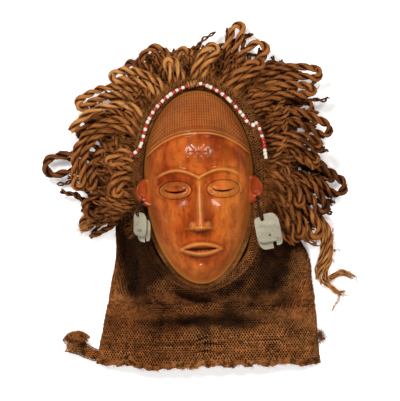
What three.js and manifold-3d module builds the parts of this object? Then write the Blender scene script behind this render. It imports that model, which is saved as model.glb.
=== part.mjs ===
// A carved wooden face mask with a netted fibre hood, a wig of looped cords, beads and ear pendants.
// Millimetres. The mask lies on its back: +X is the viewer's right, +Y the crown, +Z up out of the face.
import * as THREE from 'three';
import { mergeVertices } from 'three/addons/utils/BufferGeometryUtils.js';
import Module from 'manifold-3d';

const CLEARANCE = 0.3;
const DEGREE = Math.PI / 180;

// Carved face: an egg outline in plan, domed above its rim
const FACE = {
  x: -1,
  y: 8,
  tilt: 2 * DEGREE,
  halfWidth: 66,
  halfHeight: 116,
  taper: 0.1,
  rimHeight: 62,
  depth: 68,
  fullness: 2.6,
  roundness: 1.8,
  wall: 8,
  columns: 22,
  rows: 34,
  hollowColumns: 8,
  hollowRows: 12,
};

// Features on the face, measured from its middle, by the usual thirds
const BROW = { y: 11, arch: 9, reach: 54, width: 2.6, height: 3.6 };
const EYE = {
  x: 28,
  y: -3,
  halfWidth: 19,
  halfHeight: 10.5,
  height: 9,
  slitWidth: 25,
  slitHeight: 2,
  slitSag: 5,
};
const NOSE = {
  rootY: 8,
  baseY: -48,
  rootHeight: 5,
  tipHeight: 19,
  rootWidth: 5.5,
  tipWidth: 10.5,
  wingX: 9.5,
  wingHeight: 6,
};
const MOUTH = { y: -73, halfWidth: 23, lipRise: 6, lipWidth: 3, lipHeight: 4.6, gap: 5 };
const TEETH = { count: 7, height: 1.7, slotHalfWidth: 18 };
const HAIRLINE = { y: 62, drop: 30, height: 2.4 };
const EAR = { x: 56, y: -4, halfWidth: 20.5, halfHeight: 18, z: 83, thickness: 9 };
const EAR_HOLLOW = { x: 67, y: -1, halfWidth: 5.5, halfHeight: 10, depth: 3 };
const LOBE_HOLE = { x: 68.5, y: -15, radius: 2.3 };
// Soft swellings of the face (hollows are negative); a mirrored one stands on both sides
const SWELLINGS = [
  { x: 0, y: 42, across: 42, along: 26, height: 5 },
  { x: 27, y: 1, across: 19, along: 15, height: -9, mirrored: true },
  { x: 34, y: -36, across: 16, along: 16, height: 4, mirrored: true },
  { x: 0, y: MOUTH.y, across: 30, along: 18, height: 7 },
  { x: 0, y: -101, across: 22, along: 11, height: 6 },
  { x: 0, y: -88, across: 20, along: 5, height: -2.5 },
];
// Levels between which the eyes, mouth and lobes are pierced
const PIERCED = [72, 172];

// Hood behind the face, and the cape that runs on from it to the hem
const HOOD = { x: -1, y: 10, crown: 138, height: 86, roundness: 2.3 };
const HOOD_GRID = { columns: 16, rows: 18, crownRows: 6, crownStart: 50 };
// The hollow inside: its floor, its distance from the outside, and how far it runs past the hem
const HOLLOW = { wall: 5, floor: 4, pastHem: 12, columns: 10, rows: 12, valleySpread: 2.2 };
// How square the cloth's cross section is, over the hood and over the cape: power and root
const HOOD_SECTION = [4.5, 0.4];
const CAPE_SECTION = [2.4, 0.66];
// The hem sags left of the middle and has a small notch
const HEM = { y: -203, sag: 5, sagX: -30, sagWidth: 70, notch: 3, notchX: 8, notchWidth: 9 };
// Each row: y, left edge, right edge, height
const CAPE_STATIONS = [
  [10, -93, 91, 86],
  [-35, -101, 107, 81],
  [-72, -101, 130, 73],
  [-108, -107, 136, 61],
  [-150, -115, 141, 34],
  [HEM.y, -125, 145, 22],
];
// Folds of the cape: ends, sideways bow, width and height (a valley is negative)
const FOLDS = [
  { from: [-80, -12], to: [-82, -128], bow: -6, width: 12, height: -15 },
  { from: [86, -40], to: [92, -120], bow: 6, width: 11, height: -8 },
  { from: [-64, -104], to: [-4, -143], bow: -4, width: 8, height: 5 },
  { from: [-28, -152], to: [62, -153], bow: 5, width: 10, height: -6 },
  { from: [52, -165], to: [121, -92], bow: -12, width: 12, height: -7 },
  { from: [-112, -181], to: [134, -183], bow: 3, width: 8, height: 4 },
];
const OPENING = { gap: 0.5, jawGap: 8, jawAngle: 50 * DEGREE, jawSpread: 22 * DEGREE, depth: 24 };
const ROLL = { lift: 0.25, radius: 3.2, crownExtra: 3, rightExtra: 1.6, sides: 5, steps: 30 };
// Corner of the hem, turned out and curled
const CORNER = {
  points: [[-108, -197], [-129, -194], [-147, -185], [-159, -179]],
  radius: 2.8,
  tipRadius: 5.6,
  flat: 2.1,
};

// Wig: locks stand in four tiers round the hood and droop towards the ground as they spread
const TIER_HEIGHTS = [19.5, 34, 48.5, 62.5];
const DROOP = 15;
const DROOP_REACH = 75;
const CORD_RADIUS = 4.4;
const LOCK_SIDES = 4;
const LOCK_TWIST = 30 * DEGREE;
const LOCK_ROOT_DEPTH = 14;

// Each lock: tier, root angle, tip angle, tip distance, loop width, bulge; cut marks a single cut cord
const LOCKS = [
  { tier: 2, root: 109, tip: 109, reach: 179, width: 30, bulge: 0 },
  { tier: 3, root: 112, tip: 131, reach: 170, width: 11, bulge: 4 },
  { tier: 2, root: 121, tip: 149.5, reach: 177, width: 9.5, bulge: 8 },
  { tier: 3, root: 128, tip: 157, reach: 166, width: 9.5, bulge: 10, cut: true },
  { tier: 1, root: 133, tip: 160, reach: 157, width: 10, bulge: 6 },
  { tier: 1, root: 164, tip: 174, reach: 191.6, width: 22, bulge: 0 },
  { tier: 2, root: 141, tip: 168, reach: 155, width: 9.5, bulge: 6, cut: true },
  { tier: 3, root: 137, tip: 185, reach: 142, width: 10, bulge: 22 },
  { tier: 2, root: 152, tip: 186, reach: 132, width: 10, bulge: 12 },
  { tier: 3, root: 156, tip: 170, reach: 112, width: 9.5, bulge: 2 },
  { tier: 3, root: 169, tip: 191, reach: 99, width: 10, bulge: 8 },
  { tier: 2, root: 184, tip: 195, reach: 142, width: 24, bulge: 0 },
  { tier: 0, root: 193, tip: 200, reach: 154, width: 10, bulge: 0 },
  { tier: 1, root: 78, tip: 76, reach: 204.3, width: 12, bulge: 0 },
  { tier: 2, root: 73, tip: 63.5, reach: 191, width: 19, bulge: 0 },
  { tier: 3, root: 71, tip: 62, reach: 168, width: 10, bulge: 0 },
  { tier: 3, root: 91, tip: 81, reach: 168, width: 12, bulge: 4 },
  { tier: 2, root: 62, tip: 41, reach: 201, width: 11, bulge: 6 },
  { tier: 1, root: 66, tip: 49, reach: 181, width: 11, bulge: 4 },
  { tier: 3, root: 56, tip: 38, reach: 180, width: 11, bulge: 4 },
  { tier: 1, root: 50, tip: 32, reach: 168, width: 13, bulge: 4 },
  { tier: 2, root: 44, tip: 20, reach: 171, width: 15, bulge: 6 },
  { tier: 3, root: 32, tip: 15.5, reach: 155, width: 10, bulge: 4 },
  { tier: 2, root: 24, tip: 9, reach: 147, width: 10, bulge: 4 },
  { tier: 1, root: 14, tip: -4, reach: 174, width: 20, bulge: 8 },
  { tier: 2, root: 8, tip: -14, reach: 155, width: 12, bulge: 8 },
  { tier: 3, root: 8, tip: -14, reach: 122, width: 11, bulge: 8 },
  { tier: 3, root: 102, tip: 104, reach: 160, width: 10, bulge: 0 },
  { tier: 1, root: 97, tip: 96, reach: 170, width: 12, bulge: 0 },
  { tier: 1, root: 118, tip: 121, reach: 172, width: 12, bulge: 4 },
  { tier: 0, root: 132, tip: 148, reach: 160, width: 12, bulge: 4 },
  { tier: 0, root: 160, tip: 180, reach: 142, width: 12, bulge: 4 },
  { tier: 0, root: 86, tip: 84, reach: 176, width: 14, bulge: 0 },
  { tier: 0, root: 62, tip: 56, reach: 178, width: 14, bulge: 0 },
  { tier: 0, root: 42, tip: 28, reach: 164, width: 14, bulge: 4 },
  { tier: 0, root: 20, tip: 4, reach: 158, width: 13, bulge: 4 },
  { tier: 0, root: 110, tip: 112, reach: 166, width: 14, bulge: 0 },
  { tier: 2, root: -6, tip: -25, reach: 157, width: 14, bulge: 4 },
  { tier: 3, root: -9, tip: -31, reach: 138, width: 12, bulge: 2 },
];
// Frayed rope on the right, lying beside the cape, and its two loose strands
const TRAILING_CORDS = [
  { points: [[116, -18], [142, -30], [154, -50], [153, -76], [147, -96], [152, -110]], radius: 6.2 },
  { points: [[148, -102], [158, -102], [172, -95], [189.3, -102]], radius: 3 },
  { points: [[150, -106], [160, -114], [168, -119], [177, -120]], radius: 2.8 },
];

// Beads along the upper edge of the face: angle round the face and distance out from its edge
const BEAD_ROUTE = [
  [162, 15], [158, 8.5], [153, 5.5], [147, 5.5], [141, 6.5], [133, 6.5], [123, 5.5], [111, 5], [101, 5.2],
  [92, 7], [83, 7], [74, 5], [63, 4], [53, 4], [44, 5], [37, 7], [34, 11.5], [34, 15.5], [30, 16.5],
  [25, 16.5], [19, 16], [13.6, 15],
];
const BEAD = { count: 62, radius: 2.3, waist: 1.4, sides: 4 };

// Ear pendants: plates hung on cord loops through the lobes
const PLATE = {
  width: 30,
  height: 34,
  thickness: 1.6,
  corner: 10,
  topDrop: 2.5,
  slotX: -4.8,
  slotY: 11,
  slotWidth: 4.4,
  slotDepth: 8,
  holeX: 1,
  holeY: -9,
  holeRadius: 1.3,
};
// Rolled in its own plane, turned about the mask's length and leaning down at the foot
const PENDANTS = [
  {
    side: 'left',
    size: 0.83,
    x: -70.5,
    y: -36,
    z: 85,
    turn: -54 * DEGREE,
    lean: 6 * DEGREE,
    roll: -3 * DEGREE,
  },
  {
    side: 'right',
    size: 1,
    x: 80,
    y: -40,
    z: 91.5,
    turn: 13 * DEGREE,
    lean: 4 * DEGREE,
    roll: 11 * DEGREE,
  },
];
const BACK_PLATE = { x: 1.5, y: -9, z: -5 };
// Cord of a pendant: its drop below the slot, and its room over the front plate, behind and at the lobe
const LOOP = {
  radius: 1,
  drop: 8,
  rise: 4,
  front: 2.4,
  behind: 1.9,
  above: 2.2,
  below: 1.6,
  sides: 3,
  steps: 18,
};

const COLOURS = {
  wood: 0xa6521f,
  fibre: 0x6d4526,
  hair: 0x8a5a2c,
  bead: 0xd9c3b4,
  plate: 0xb9b29a,
  cord: 0x3f2a1a,
};

const wasm = await Module();
wasm.setup();

// Small maths helpers
const clamp01 = (value) => Math.min(1, Math.max(0, value));
const mix = (from, to, share) => from + (to - from) * share;
const bell = (offset, width) => Math.exp(-((offset / width) ** 2));

function smooth(low, high, value) {
  const share = clamp01((value - low) / (high - low));
  return share * share * (3 - 2 * share);
}

// Meshes to and from solids
function toSolid(geometry) {
  const bare = geometry.clone();
  bare.deleteAttribute('normal');
  bare.deleteAttribute('uv');
  const merged = mergeVertices(bare, 1e-4);
  return new wasm.Manifold(new wasm.Mesh({
    numProp: 3,
    vertProperties: new Float32Array(merged.attributes.position.array),
    triVerts: new Uint32Array(merged.index.array),
  }));
}

function toGeometry(solid) {
  const mesh = solid.getMesh();
  const geometry = new THREE.BufferGeometry();
  geometry.setAttribute('position', new THREE.BufferAttribute(mesh.vertProperties, 3));
  geometry.setIndex(new THREE.BufferAttribute(mesh.triVerts, 1));
  return geometry;
}

// A skin over closed rings of equal length, with flat ends or closed round into a ring
function skin(rings, { closed = false } = {}) {
  const count = rings[0].length;
  const index = [];
  const lastRing = closed ? rings.length : rings.length - 1;
  for (let r = 0; r < lastRing; r++) {
    const next = (r + 1) % rings.length;
    for (let k = 0; k < count; k++) {
      const a = r * count + k;
      const b = r * count + ((k + 1) % count);
      const c = next * count + k;
      const d = next * count + ((k + 1) % count);
      index.push(a, b, d, a, d, c);
    }
  }
  if (!closed) {
    for (let k = 1; k < count - 1; k++) {
      const top = (rings.length - 1) * count;
      index.push(0, k + 1, k, top, top + k, top + k + 1);
    }
  }
  const geometry = new THREE.BufferGeometry();
  geometry.setAttribute('position', new THREE.Float32BufferAttribute(rings.flat(2), 3));
  geometry.setIndex(index);
  return geometry;
}

// A round section carried along a path; the reference vector keeps it from rolling
function sweep(path, radiusAt, options = {}) {
  const { sides = 5, closed = false, twist = 0, reference = [0, 0, 1], flat = 1 } = options;
  const up = new THREE.Vector3(...reference);
  const rings = path.map((point, i) => {
    const before = closed ? path.at(i - 1) : path[Math.max(0, i - 1)];
    const after = closed ? path[(i + 1) % path.length] : path[Math.min(path.length - 1, i + 1)];
    const along = new THREE.Vector3().subVectors(after, before).normalize();
    const across = new THREE.Vector3().crossVectors(up, along).normalize();
    const over = new THREE.Vector3().crossVectors(along, across);
    const radius = radiusAt(i / (path.length - (closed ? 0 : 1)));
    return Array.from({ length: sides }, (_, k) => {
      const angle = (2 * Math.PI * k) / sides + twist * i;
      return point.clone()
        .addScaledVector(across, radius * flat * Math.cos(angle))
        .addScaledVector(over, radius * Math.sin(angle))
        .toArray();
    });
  });
  return skin(rings, { closed });
}

// Even steps from -1 to 1, drawn closer together round a focus
function unevenSteps(count, focus, spread, strength) {
  const samples = 400;
  const sums = [0];
  for (let i = 1; i <= samples; i++) {
    const value = -1 + (2 * i) / samples;
    sums.push(sums[i - 1] + 1 + strength * bell(value - focus, spread));
  }
  return Array.from({ length: count + 1 }, (_, k) => {
    const target = (sums[samples] * k) / count;
    const i = Math.max(1, sums.findIndex((sum) => sum >= target - 1e-9));
    const share = (target - sums[i - 1]) / (sums[i] - sums[i - 1]);
    return -1 + (2 * (i - 1 + share)) / samples;
  });
}

// From face coordinates to the ground plan
function facePlan(x, y) {
  const c = Math.cos(FACE.tilt);
  const s = Math.sin(FACE.tilt);
  return [FACE.x + x * c - y * s, FACE.y + x * s + y * c];
}

function placeOnFace(geometry) {
  return geometry.rotateZ(FACE.tilt).translate(FACE.x, FACE.y, 0);
}

// The face outline, as a point of the unit disc grown to the egg, with an offset out from the edge
function eggPoint(dx, dy, offset = 0) {
  const size = Math.hypot(dx, dy) || 1;
  const x = FACE.halfWidth * dx * (1 + FACE.taper * dy) + (offset * dx) / size;
  const y = FACE.halfHeight * dy + (offset * dy) / size;
  return [x, y];
}

function outlinePoint(angle, offset) {
  return facePlan(...eggPoint(Math.cos(angle), Math.sin(angle), offset));
}

const hairlineY = (x) => HAIRLINE.y - HAIRLINE.drop * (Math.abs(x) / FACE.halfWidth) ** 2.4;

// Carving of the face as height above the plain dome
function carving(x, y) {
  const side = Math.abs(x);
  let height = HAIRLINE.height * smooth(-1.5, 1.5, y - hairlineY(x));
  for (const part of SWELLINGS) {
    const offset = (part.mirrored ? side : x) - part.x;
    height += part.height * bell(offset, part.across) * bell(y - part.y, part.along);
  }
  const browY = BROW.y + BROW.arch * Math.sin((Math.PI * side) / BROW.reach);
  height += BROW.height * bell(y - browY, BROW.width) * smooth(BROW.reach, BROW.reach - 12, side);
  const lid = 1 - ((side - EYE.x) / EYE.halfWidth) ** 2 - ((y - EYE.y) / EYE.halfHeight) ** 2;
  height += EYE.height * Math.sqrt(Math.max(0, lid));
  return height + noseHeight(x, y) + mouthHeight(x, y);
}

function noseHeight(x, y) {
  const share = clamp01((NOSE.rootY - y) / (NOSE.rootY - NOSE.baseY));
  const ridge = mix(NOSE.rootHeight, NOSE.tipHeight, share ** 1.2);
  const width = mix(NOSE.rootWidth, NOSE.tipWidth, share ** 2);
  const ends = smooth(NOSE.baseY - 5, NOSE.baseY, y) * smooth(NOSE.rootY + 12, NOSE.rootY - 4, y);
  const wings = NOSE.wingHeight * bell(Math.abs(x) - NOSE.wingX, 4.5) * bell(y - NOSE.baseY - 4, 5);
  return ridge * bell(x, width) * ends + wings * smooth(NOSE.baseY - 4, NOSE.baseY, y);
}

function mouthHeight(x, y) {
  const across = clamp01(Math.abs(x) / MOUTH.halfWidth);
  const rise = MOUTH.lipRise * (1 - across ** 2);
  const upper = bell(y - MOUTH.y - rise, MOUTH.lipWidth);
  const lower = bell(y - MOUTH.y + rise, MOUTH.lipWidth);
  const fade = smooth(MOUTH.halfWidth + 5, MOUTH.halfWidth - 1, Math.abs(x));
  return MOUTH.lipHeight * Math.max(upper, lower) * fade;
}

// Height of the wood over a point of the face
function faceHeight(x, y, inset = 0) {
  const dy = clamp01((y / (FACE.halfHeight - inset) + 1) / 2) * 2 - 1;
  const dx = x / ((FACE.halfWidth - inset) * (1 + FACE.taper * dy));
  const out = Math.min(1, Math.hypot(dx, dy));
  const dome = (FACE.depth - inset) * (1 - out ** FACE.fullness) ** (1 / FACE.roundness);
  const cut = carving(x, y);
  const kept = inset > 0 ? Math.min(0, cut) : cut;
  return FACE.rimHeight + dome + kept * (1 - out ** 8);
}

// A dome over the egg outline, closed below by a flat floor
function domeSolid(columns, rows, inset, floorDrop) {
  const across = unevenSteps(columns, 0, 0.45, 0.8);
  const upward = unevenSteps(rows, -0.28, 0.5, 1.4);
  const positions = [];
  const index = [];
  for (const v of upward) {
    for (const u of across) {
      const dx = u * Math.sqrt(1 - (v * v) / 2);
      const dy = v * Math.sqrt(1 - (u * u) / 2);
      const x = (FACE.halfWidth - inset) * dx * (1 + FACE.taper * dy);
      const y = (FACE.halfHeight - inset) * dy;
      const onEdge = Math.abs(u) > 0.9999 || Math.abs(v) > 0.9999;
      positions.push(x, y, onEdge ? FACE.rimHeight : faceHeight(x, y, inset));
    }
  }
  const width = columns + 1;
  for (let r = 0; r < rows; r++) {
    for (let c = 0; c < columns; c++) {
      const a = r * width + c;
      index.push(a, a + 1, a + width + 1, a, a + width + 1, a + width);
    }
  }
  const edge = [];
  for (let c = 0; c < columns; c++) edge.push(c);
  for (let r = 0; r < rows; r++) edge.push(r * width + columns);
  for (let c = columns; c > 0; c--) edge.push(rows * width + c);
  for (let r = rows; r > 0; r--) edge.push(r * width);
  const floorStart = positions.length / 3;
  const floor = FACE.rimHeight - floorDrop;
  for (const i of edge) positions.push(positions[3 * i], positions[3 * i + 1], floor);
  positions.push(0, 0, floor);
  const middle = floorStart + edge.length;
  edge.forEach((i, k) => {
    const next = (k + 1) % edge.length;
    if (floorDrop > 0) index.push(i, floorStart + k, floorStart + next, i, floorStart + next, edge[next]);
    index.push(middle, floorStart + next, floorStart + k);
  });
  const geometry = new THREE.BufferGeometry();
  geometry.setAttribute('position', new THREE.Float32BufferAttribute(positions, 3));
  geometry.setIndex(index);
  return toSolid(geometry);
}

function prism(shape, low, high) {
  const options = { depth: high - low, bevelEnabled: false, curveSegments: 4 };
  return new THREE.ExtrudeGeometry(shape, options).translate(0, 0, low);
}

// Slit between the lids: a thin crescent, low in the middle
function eyeSlit(side) {
  const half = EYE.slitWidth / 2;
  const shape = new THREE.Shape();
  shape.moveTo(-half, 0);
  shape.quadraticCurveTo(0, -EYE.slitSag - EYE.slitHeight, half, 0);
  shape.quadraticCurveTo(0, -EYE.slitSag + EYE.slitHeight, -half, 0);
  return prism(shape, ...PIERCED).translate(side * EYE.x, EYE.y, 0);
}

// Open mouth whose two edges are cut into rows of small teeth
function mouthSlot() {
  const half = TEETH.slotHalfWidth;
  const count = 2 * TEETH.count + 1;
  const edgePoint = (k, side) => {
    const x = mix(-half, half, (k + 0.5) / count);
    const rise = (MOUTH.gap / 2) * (1 - (x / half) ** 4);
    const tooth = k % 2 ? TEETH.height : 0;
    return new THREE.Vector2(x, side * Math.max(0.3, rise - tooth));
  };
  const steps = Array.from({ length: count }, (_, k) => k);
  const lower = steps.map((k) => edgePoint(k, -1));
  const upper = steps.map((k) => edgePoint(k, 1)).reverse();
  const corner = (side) => new THREE.Vector2(side * half, 0);
  const shape = new THREE.Shape([corner(-1), ...lower, corner(1), ...upper]);
  return prism(shape, ...PIERCED).translate(0, MOUTH.y, 0);
}

function ovalPrism({ x, y, halfWidth, halfHeight }, low, high) {
  const oval = new THREE.Shape();
  oval.absellipse(x, y, halfWidth, halfHeight, 0, 2 * Math.PI);
  return toSolid(prism(oval, low, high));
}

// Half-round ear tab with a hollow, and a pierced lobe below
function addEar(solid, side) {
  const top = EAR.z + EAR.thickness;
  const lobeHole = { ...LOBE_HOLE, halfWidth: LOBE_HOLE.radius, halfHeight: LOBE_HOLE.radius };
  const tab = ovalPrism(EAR, EAR.z, top);
  const recess = ovalPrism(EAR_HOLLOW, top - EAR_HOLLOW.depth, PIERCED[1]);
  const hole = ovalPrism(lobeHole, ...PIERCED);
  const mirror = (part) => (side < 0 ? part.mirror([1, 0, 0]) : part);
  return solid.add(mirror(tab)).subtract(mirror(recess)).subtract(mirror(hole));
}

function woodenFace() {
  let face = domeSolid(FACE.columns, FACE.rows, 0, 0);
  face = addEar(face, -1);
  face = addEar(face, 1);
  face = face.subtract(domeSolid(FACE.hollowColumns, FACE.hollowRows, FACE.wall, 1));
  face = face.subtract(toSolid(eyeSlit(-1)));
  face = face.subtract(toSolid(eyeSlit(1)));
  face = face.subtract(toSolid(mouthSlot()));
  return placeOnFace(toGeometry(face));
}

// Left edge, right edge and height of the hood or cape at one y
function hoodStation(y) {
  if (y >= HOOD.y) {
    const out = Math.min(1, (y - HOOD.y) / HOOD.crown);
    const share = (1 - out ** HOOD.roundness) ** (1 / HOOD.roundness);
    const [, left, right] = CAPE_STATIONS[0];
    const rise = (1 - out ** HOOD_SECTION[0]) ** HOOD_SECTION[1];
    return {
      left: mix(HOOD.x, left, share),
      right: mix(HOOD.x, right, share),
      height: HOOD.height * rise,
    };
  }
  const last = CAPE_STATIONS.length - 1;
  let i = CAPE_STATIONS.findIndex((station, k) => k < last && y >= CAPE_STATIONS[k + 1][0]);
  i = i < 0 ? last - 1 : i;
  const near = CAPE_STATIONS[i];
  const far = CAPE_STATIONS[i + 1];
  const share = (near[0] - y) / (near[0] - far[0]);
  const before = CAPE_STATIONS[Math.max(0, i - 1)];
  const after = CAPE_STATIONS[Math.min(last, i + 2)];
  const blend = (k) => {
    const slopeNear = (far[k] - before[k]) / 2;
    const slopeFar = (after[k] - near[k]) / 2;
    const s2 = share * share;
    const s3 = s2 * share;
    return near[k] * (2 * s3 - 3 * s2 + 1) + slopeNear * (s3 - 2 * s2 + share)
      + far[k] * (3 * s2 - 2 * s3) + slopeFar * (s3 - s2);
  };
  return { left: blend(1), right: blend(2), height: blend(3) };
}

function foldHeight(x, y, hollow = false) {
  let total = 0;
  for (const fold of FOLDS) {
    const dx = fold.to[0] - fold.from[0];
    const dy = fold.to[1] - fold.from[1];
    const length = Math.hypot(dx, dy);
    const along = ((x - fold.from[0]) * dx + (y - fold.from[1]) * dy) / length ** 2;
    const across = ((y - fold.from[1]) * dx - (x - fold.from[0]) * dy) / length;
    const bowed = across - 4 * fold.bow * along * (1 - along);
    if (hollow && fold.height > 0) continue;
    const width = fold.width * (hollow ? HOLLOW.valleySpread : 1);
    total += fold.height * bell(bowed, width) * smooth(-0.15, 0.15, along) * smooth(1.15, 0.85, along);
  }
  return total;
}

// Height of the cloth over a point of the plan
function hoodHeight(x, y, inset = 0) {
  const { left, right, height } = hoodStation(y);
  const half = (right - left) / 2 - inset;
  const out = half > 0 ? Math.min(1, Math.abs(x - (left + right) / 2) / half) : 1;
  const cape = smooth(HOOD.y, -70, y);
  const power = mix(HOOD_SECTION[0], CAPE_SECTION[0], cape);
  const root = mix(HOOD_SECTION[1], CAPE_SECTION[1], cape);
  const profile = (1 - out ** power) ** root;
  const edge = smooth(1, 0.9, out);
  return Math.max(0, (height - inset) * profile + foldHeight(x, y, inset > 0) * edge);
}

// Rows of the hood and cape from the hem to the crown, closer together where the crown turns down
function hoodRows(rows, hem, crown) {
  const straight = rows - HOOD_GRID.crownRows;
  return Array.from({ length: rows + 1 }, (_, r) => {
    if (r <= straight) return mix(hem, HOOD_GRID.crownStart, r / straight);
    const turn = ((r - straight) / HOOD_GRID.crownRows) * Math.PI * 0.5;
    return mix(HOOD_GRID.crownStart, crown, Math.sin(turn));
  });
}

// Hood and cape as a filled shape. An inset one is its hollow, and a grown one keeps its neighbours off.
function hoodSolid(columns, rows, inset, grow = 0) {
  const hem = HEM.y - (inset > 0 ? HOLLOW.pastHem : 0) - grow;
  const crown = HOOD.y + HOOD.crown - inset;
  const floor = inset > 0 ? HOLLOW.floor : 0;
  const rings = hoodRows(rows, hem, crown).map((y, r) => {
    const { left, right } = hoodStation(Math.min(y, HOOD.y + HOOD.crown - 0.01));
    const halfWidth = Math.max(0, (right - left) / 2 - inset + grow);
    const middle = (left + right) / 2;
    const ring = [];
    for (let k = 0; k <= columns; k++) {
      const out = mix((2 * k) / columns - 1, -Math.cos((Math.PI * k) / columns), 0.5);
      const x = middle + out * halfWidth;
      const sampleX = middle + out * (halfWidth - grow);
      const bow = hemBow(x) * smooth(HOOD.y, HEM.y, y);
      const edge = k === 0 || k === columns || r === rows;
      const top = edge ? floor : Math.max(floor + 0.5, hoodHeight(sampleX, y, inset) + grow);
      ring.push([x, y + bow, top]);
    }
    const underside = grow > 0 ? ring.toReversed().map(([x, bowedY]) => [x, bowedY, -10 * grow]) : [];
    return [...ring, ...underside];
  });
  return toSolid(skin(rings));
}

function hemBow(x) {
  return -HEM.sag * bell(x - HEM.sagX, HEM.sagWidth) + HEM.notch * bell(x - HEM.notchX, HEM.notchWidth);
}

function openingOffset(angle) {
  const toJaw = Math.min(
    Math.abs(angle - (1.5 * Math.PI - OPENING.jawAngle)),
    Math.abs(angle - (1.5 * Math.PI + OPENING.jawAngle)),
  );
  return OPENING.gap + OPENING.jawGap * bell(toJaw, OPENING.jawSpread);
}

function rollRadius(angle) {
  const crown = 0.5 + 0.5 * Math.sin(angle);
  const right = 0.5 + 0.5 * Math.cos(angle);
  return ROLL.radius + ROLL.crownExtra * crown + ROLL.rightExtra * right;
}

// Middle of the rolled edge, seen from the middle of the face
function rollMiddle(angle) {
  const radius = rollRadius(angle);
  const [x, y] = outlinePoint(angle, openingOffset(angle) + radius);
  return new THREE.Vector3(x, y, hoodHeight(x, y) + radius * ROLL.lift);
}

function rollSolid(grow = 0) {
  const angles = Array.from({ length: ROLL.steps }, (_, k) => (2 * Math.PI * k) / ROLL.steps);
  const radiusAt = (share) => rollRadius(2 * Math.PI * share) + grow;
  return toSolid(sweep(angles.map(rollMiddle), radiusAt, { sides: ROLL.sides, closed: true }));
}

function openingSolid() {
  const points = Array.from({ length: ROLL.steps }, (_, k) => {
    const angle = (2 * Math.PI * k) / ROLL.steps;
    return new THREE.Vector2(...outlinePoint(angle, openingOffset(angle)));
  });
  return toSolid(prism(new THREE.Shape(points), OPENING.depth, PIERCED[1]));
}

function cornerSolid() {
  const { points, radius, tipRadius, flat } = CORNER;
  const radiusAt = (share) => mix(radius, tipRadius, share ** 2);
  const last = points.length - 1;
  const middle = points.map(([x, y], i) => new THREE.Vector3(x, y, radiusAt(i / last)));
  const path = new THREE.CatmullRomCurve3(middle).getPoints(5);
  return toSolid(sweep(path, (share) => radiusAt(share) - 0.1, { sides: 6, flat }));
}

function fibreHood() {
  return hoodSolid(HOOD_GRID.columns, HOOD_GRID.rows, 0)
    .subtract(hoodSolid(HOLLOW.columns, HOLLOW.rows, HOLLOW.wall))
    .subtract(openingSolid())
    .add(rollSolid())
    .add(cornerSolid());
}

// Distance of the hood's edge from its middle, in one direction
function hoodReach(angle) {
  const { left, right } = hoodStation(HOOD.y);
  const half = (right - left) / 2;
  const c = Math.abs(Math.cos(angle) / half) ** HOOD.roundness;
  const s = Math.abs(Math.sin(angle) / HOOD.crown) ** HOOD.roundness;
  return (c + s) ** (-1 / HOOD.roundness);
}

function tierHeight(tier, x, y) {
  const dx = x - HOOD.x;
  const dy = y - HOOD.y;
  const beyond = Math.hypot(dx, dy) - hoodReach(Math.atan2(dy, dx));
  return TIER_HEIGHTS[tier] - DROOP * smooth(0, DROOP_REACH, beyond);
}

// Middle line of a lock in plan: straight out of the hood at first, then turning towards its tip
function lockMiddle(lock, share) {
  const root = lock.root * DEGREE;
  const angle = root + (lock.tip - lock.root) * DEGREE * Math.max(0, share) ** 1.5;
  const start = hoodReach(root) - LOCK_ROOT_DEPTH;
  const reach = mix(start, lock.reach, share) + lock.bulge * Math.sin(Math.PI * share);
  return new THREE.Vector2(HOOD.x + reach * Math.cos(angle), HOOD.y + reach * Math.sin(angle));
}

function lockPath(lock) {
  const lift = (point) => new THREE.Vector3(point.x, point.y, tierHeight(lock.tier, point.x, point.y));
  if (lock.cut) return [0, 0.25, 0.5, 0.75, 1].map((share) => lift(lockMiddle(lock, share)));
  const half = lock.width / 2;
  const length = lockMiddle(lock, 0).distanceTo(lockMiddle(lock, 1));
  const turnStart = 1 - (half + CORD_RADIUS) / length;
  const parts = Math.abs(lock.tip - lock.root) > 20 ? [0, 0.33, 0.67, 1] : [0, 0.5, 1];
  const strand = (side) => parts.map((part) => {
    const share = part * turnStart;
    const ahead = lockMiddle(lock, share + 0.01).sub(lockMiddle(lock, share - 0.01)).normalize();
    const spread = mix(Math.min(half, 5), half, smooth(0.2, 1, part));
    const aside = new THREE.Vector2(-ahead.y, ahead.x);
    return lift(lockMiddle(lock, share).addScaledVector(aside, side * spread));
  });
  const ahead = lockMiddle(lock, turnStart).sub(lockMiddle(lock, turnStart - 0.02)).normalize();
  const aside = new THREE.Vector2(-ahead.y, ahead.x);
  const turn = [50, 90, 130].map((degrees) => {
    const angle = degrees * DEGREE;
    return lift(lockMiddle(lock, turnStart)
      .addScaledVector(aside, half * Math.cos(angle))
      .addScaledVector(ahead, half * Math.sin(angle)));
  });
  return [...strand(1), ...turn, ...strand(-1).reverse()];
}

function hairLock(lock, keepOut) {
  const cord = sweep(lockPath(lock), () => CORD_RADIUS, { sides: LOCK_SIDES, twist: LOCK_TWIST });
  return toGeometry(toSolid(cord).subtract(keepOut));
}

function trailingCords(keepOut) {
  const solids = TRAILING_CORDS.map(({ points, radius }) => {
    const middle = points.map(([x, y]) => new THREE.Vector3(x, y, radius + 0.4));
    const path = new THREE.CatmullRomCurve3(middle).getPoints(2 * points.length - 2);
    return toSolid(sweep(path, () => radius, { sides: LOCK_SIDES, twist: LOCK_TWIST }));
  });
  return toGeometry(wasm.Manifold.union(solids).subtract(keepOut));
}

// Top of the cloth beside the face, with its rolled edge
function clothTop(angle, offset) {
  const [x, y] = outlinePoint(angle, offset);
  const radius = rollRadius(angle);
  const aside = offset - openingOffset(angle) - radius;
  const roll = Math.abs(aside) < radius ? rollMiddle(angle).z + Math.sqrt(radius ** 2 - aside ** 2) : 0;
  return Math.max(hoodHeight(x, y), roll);
}

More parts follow.
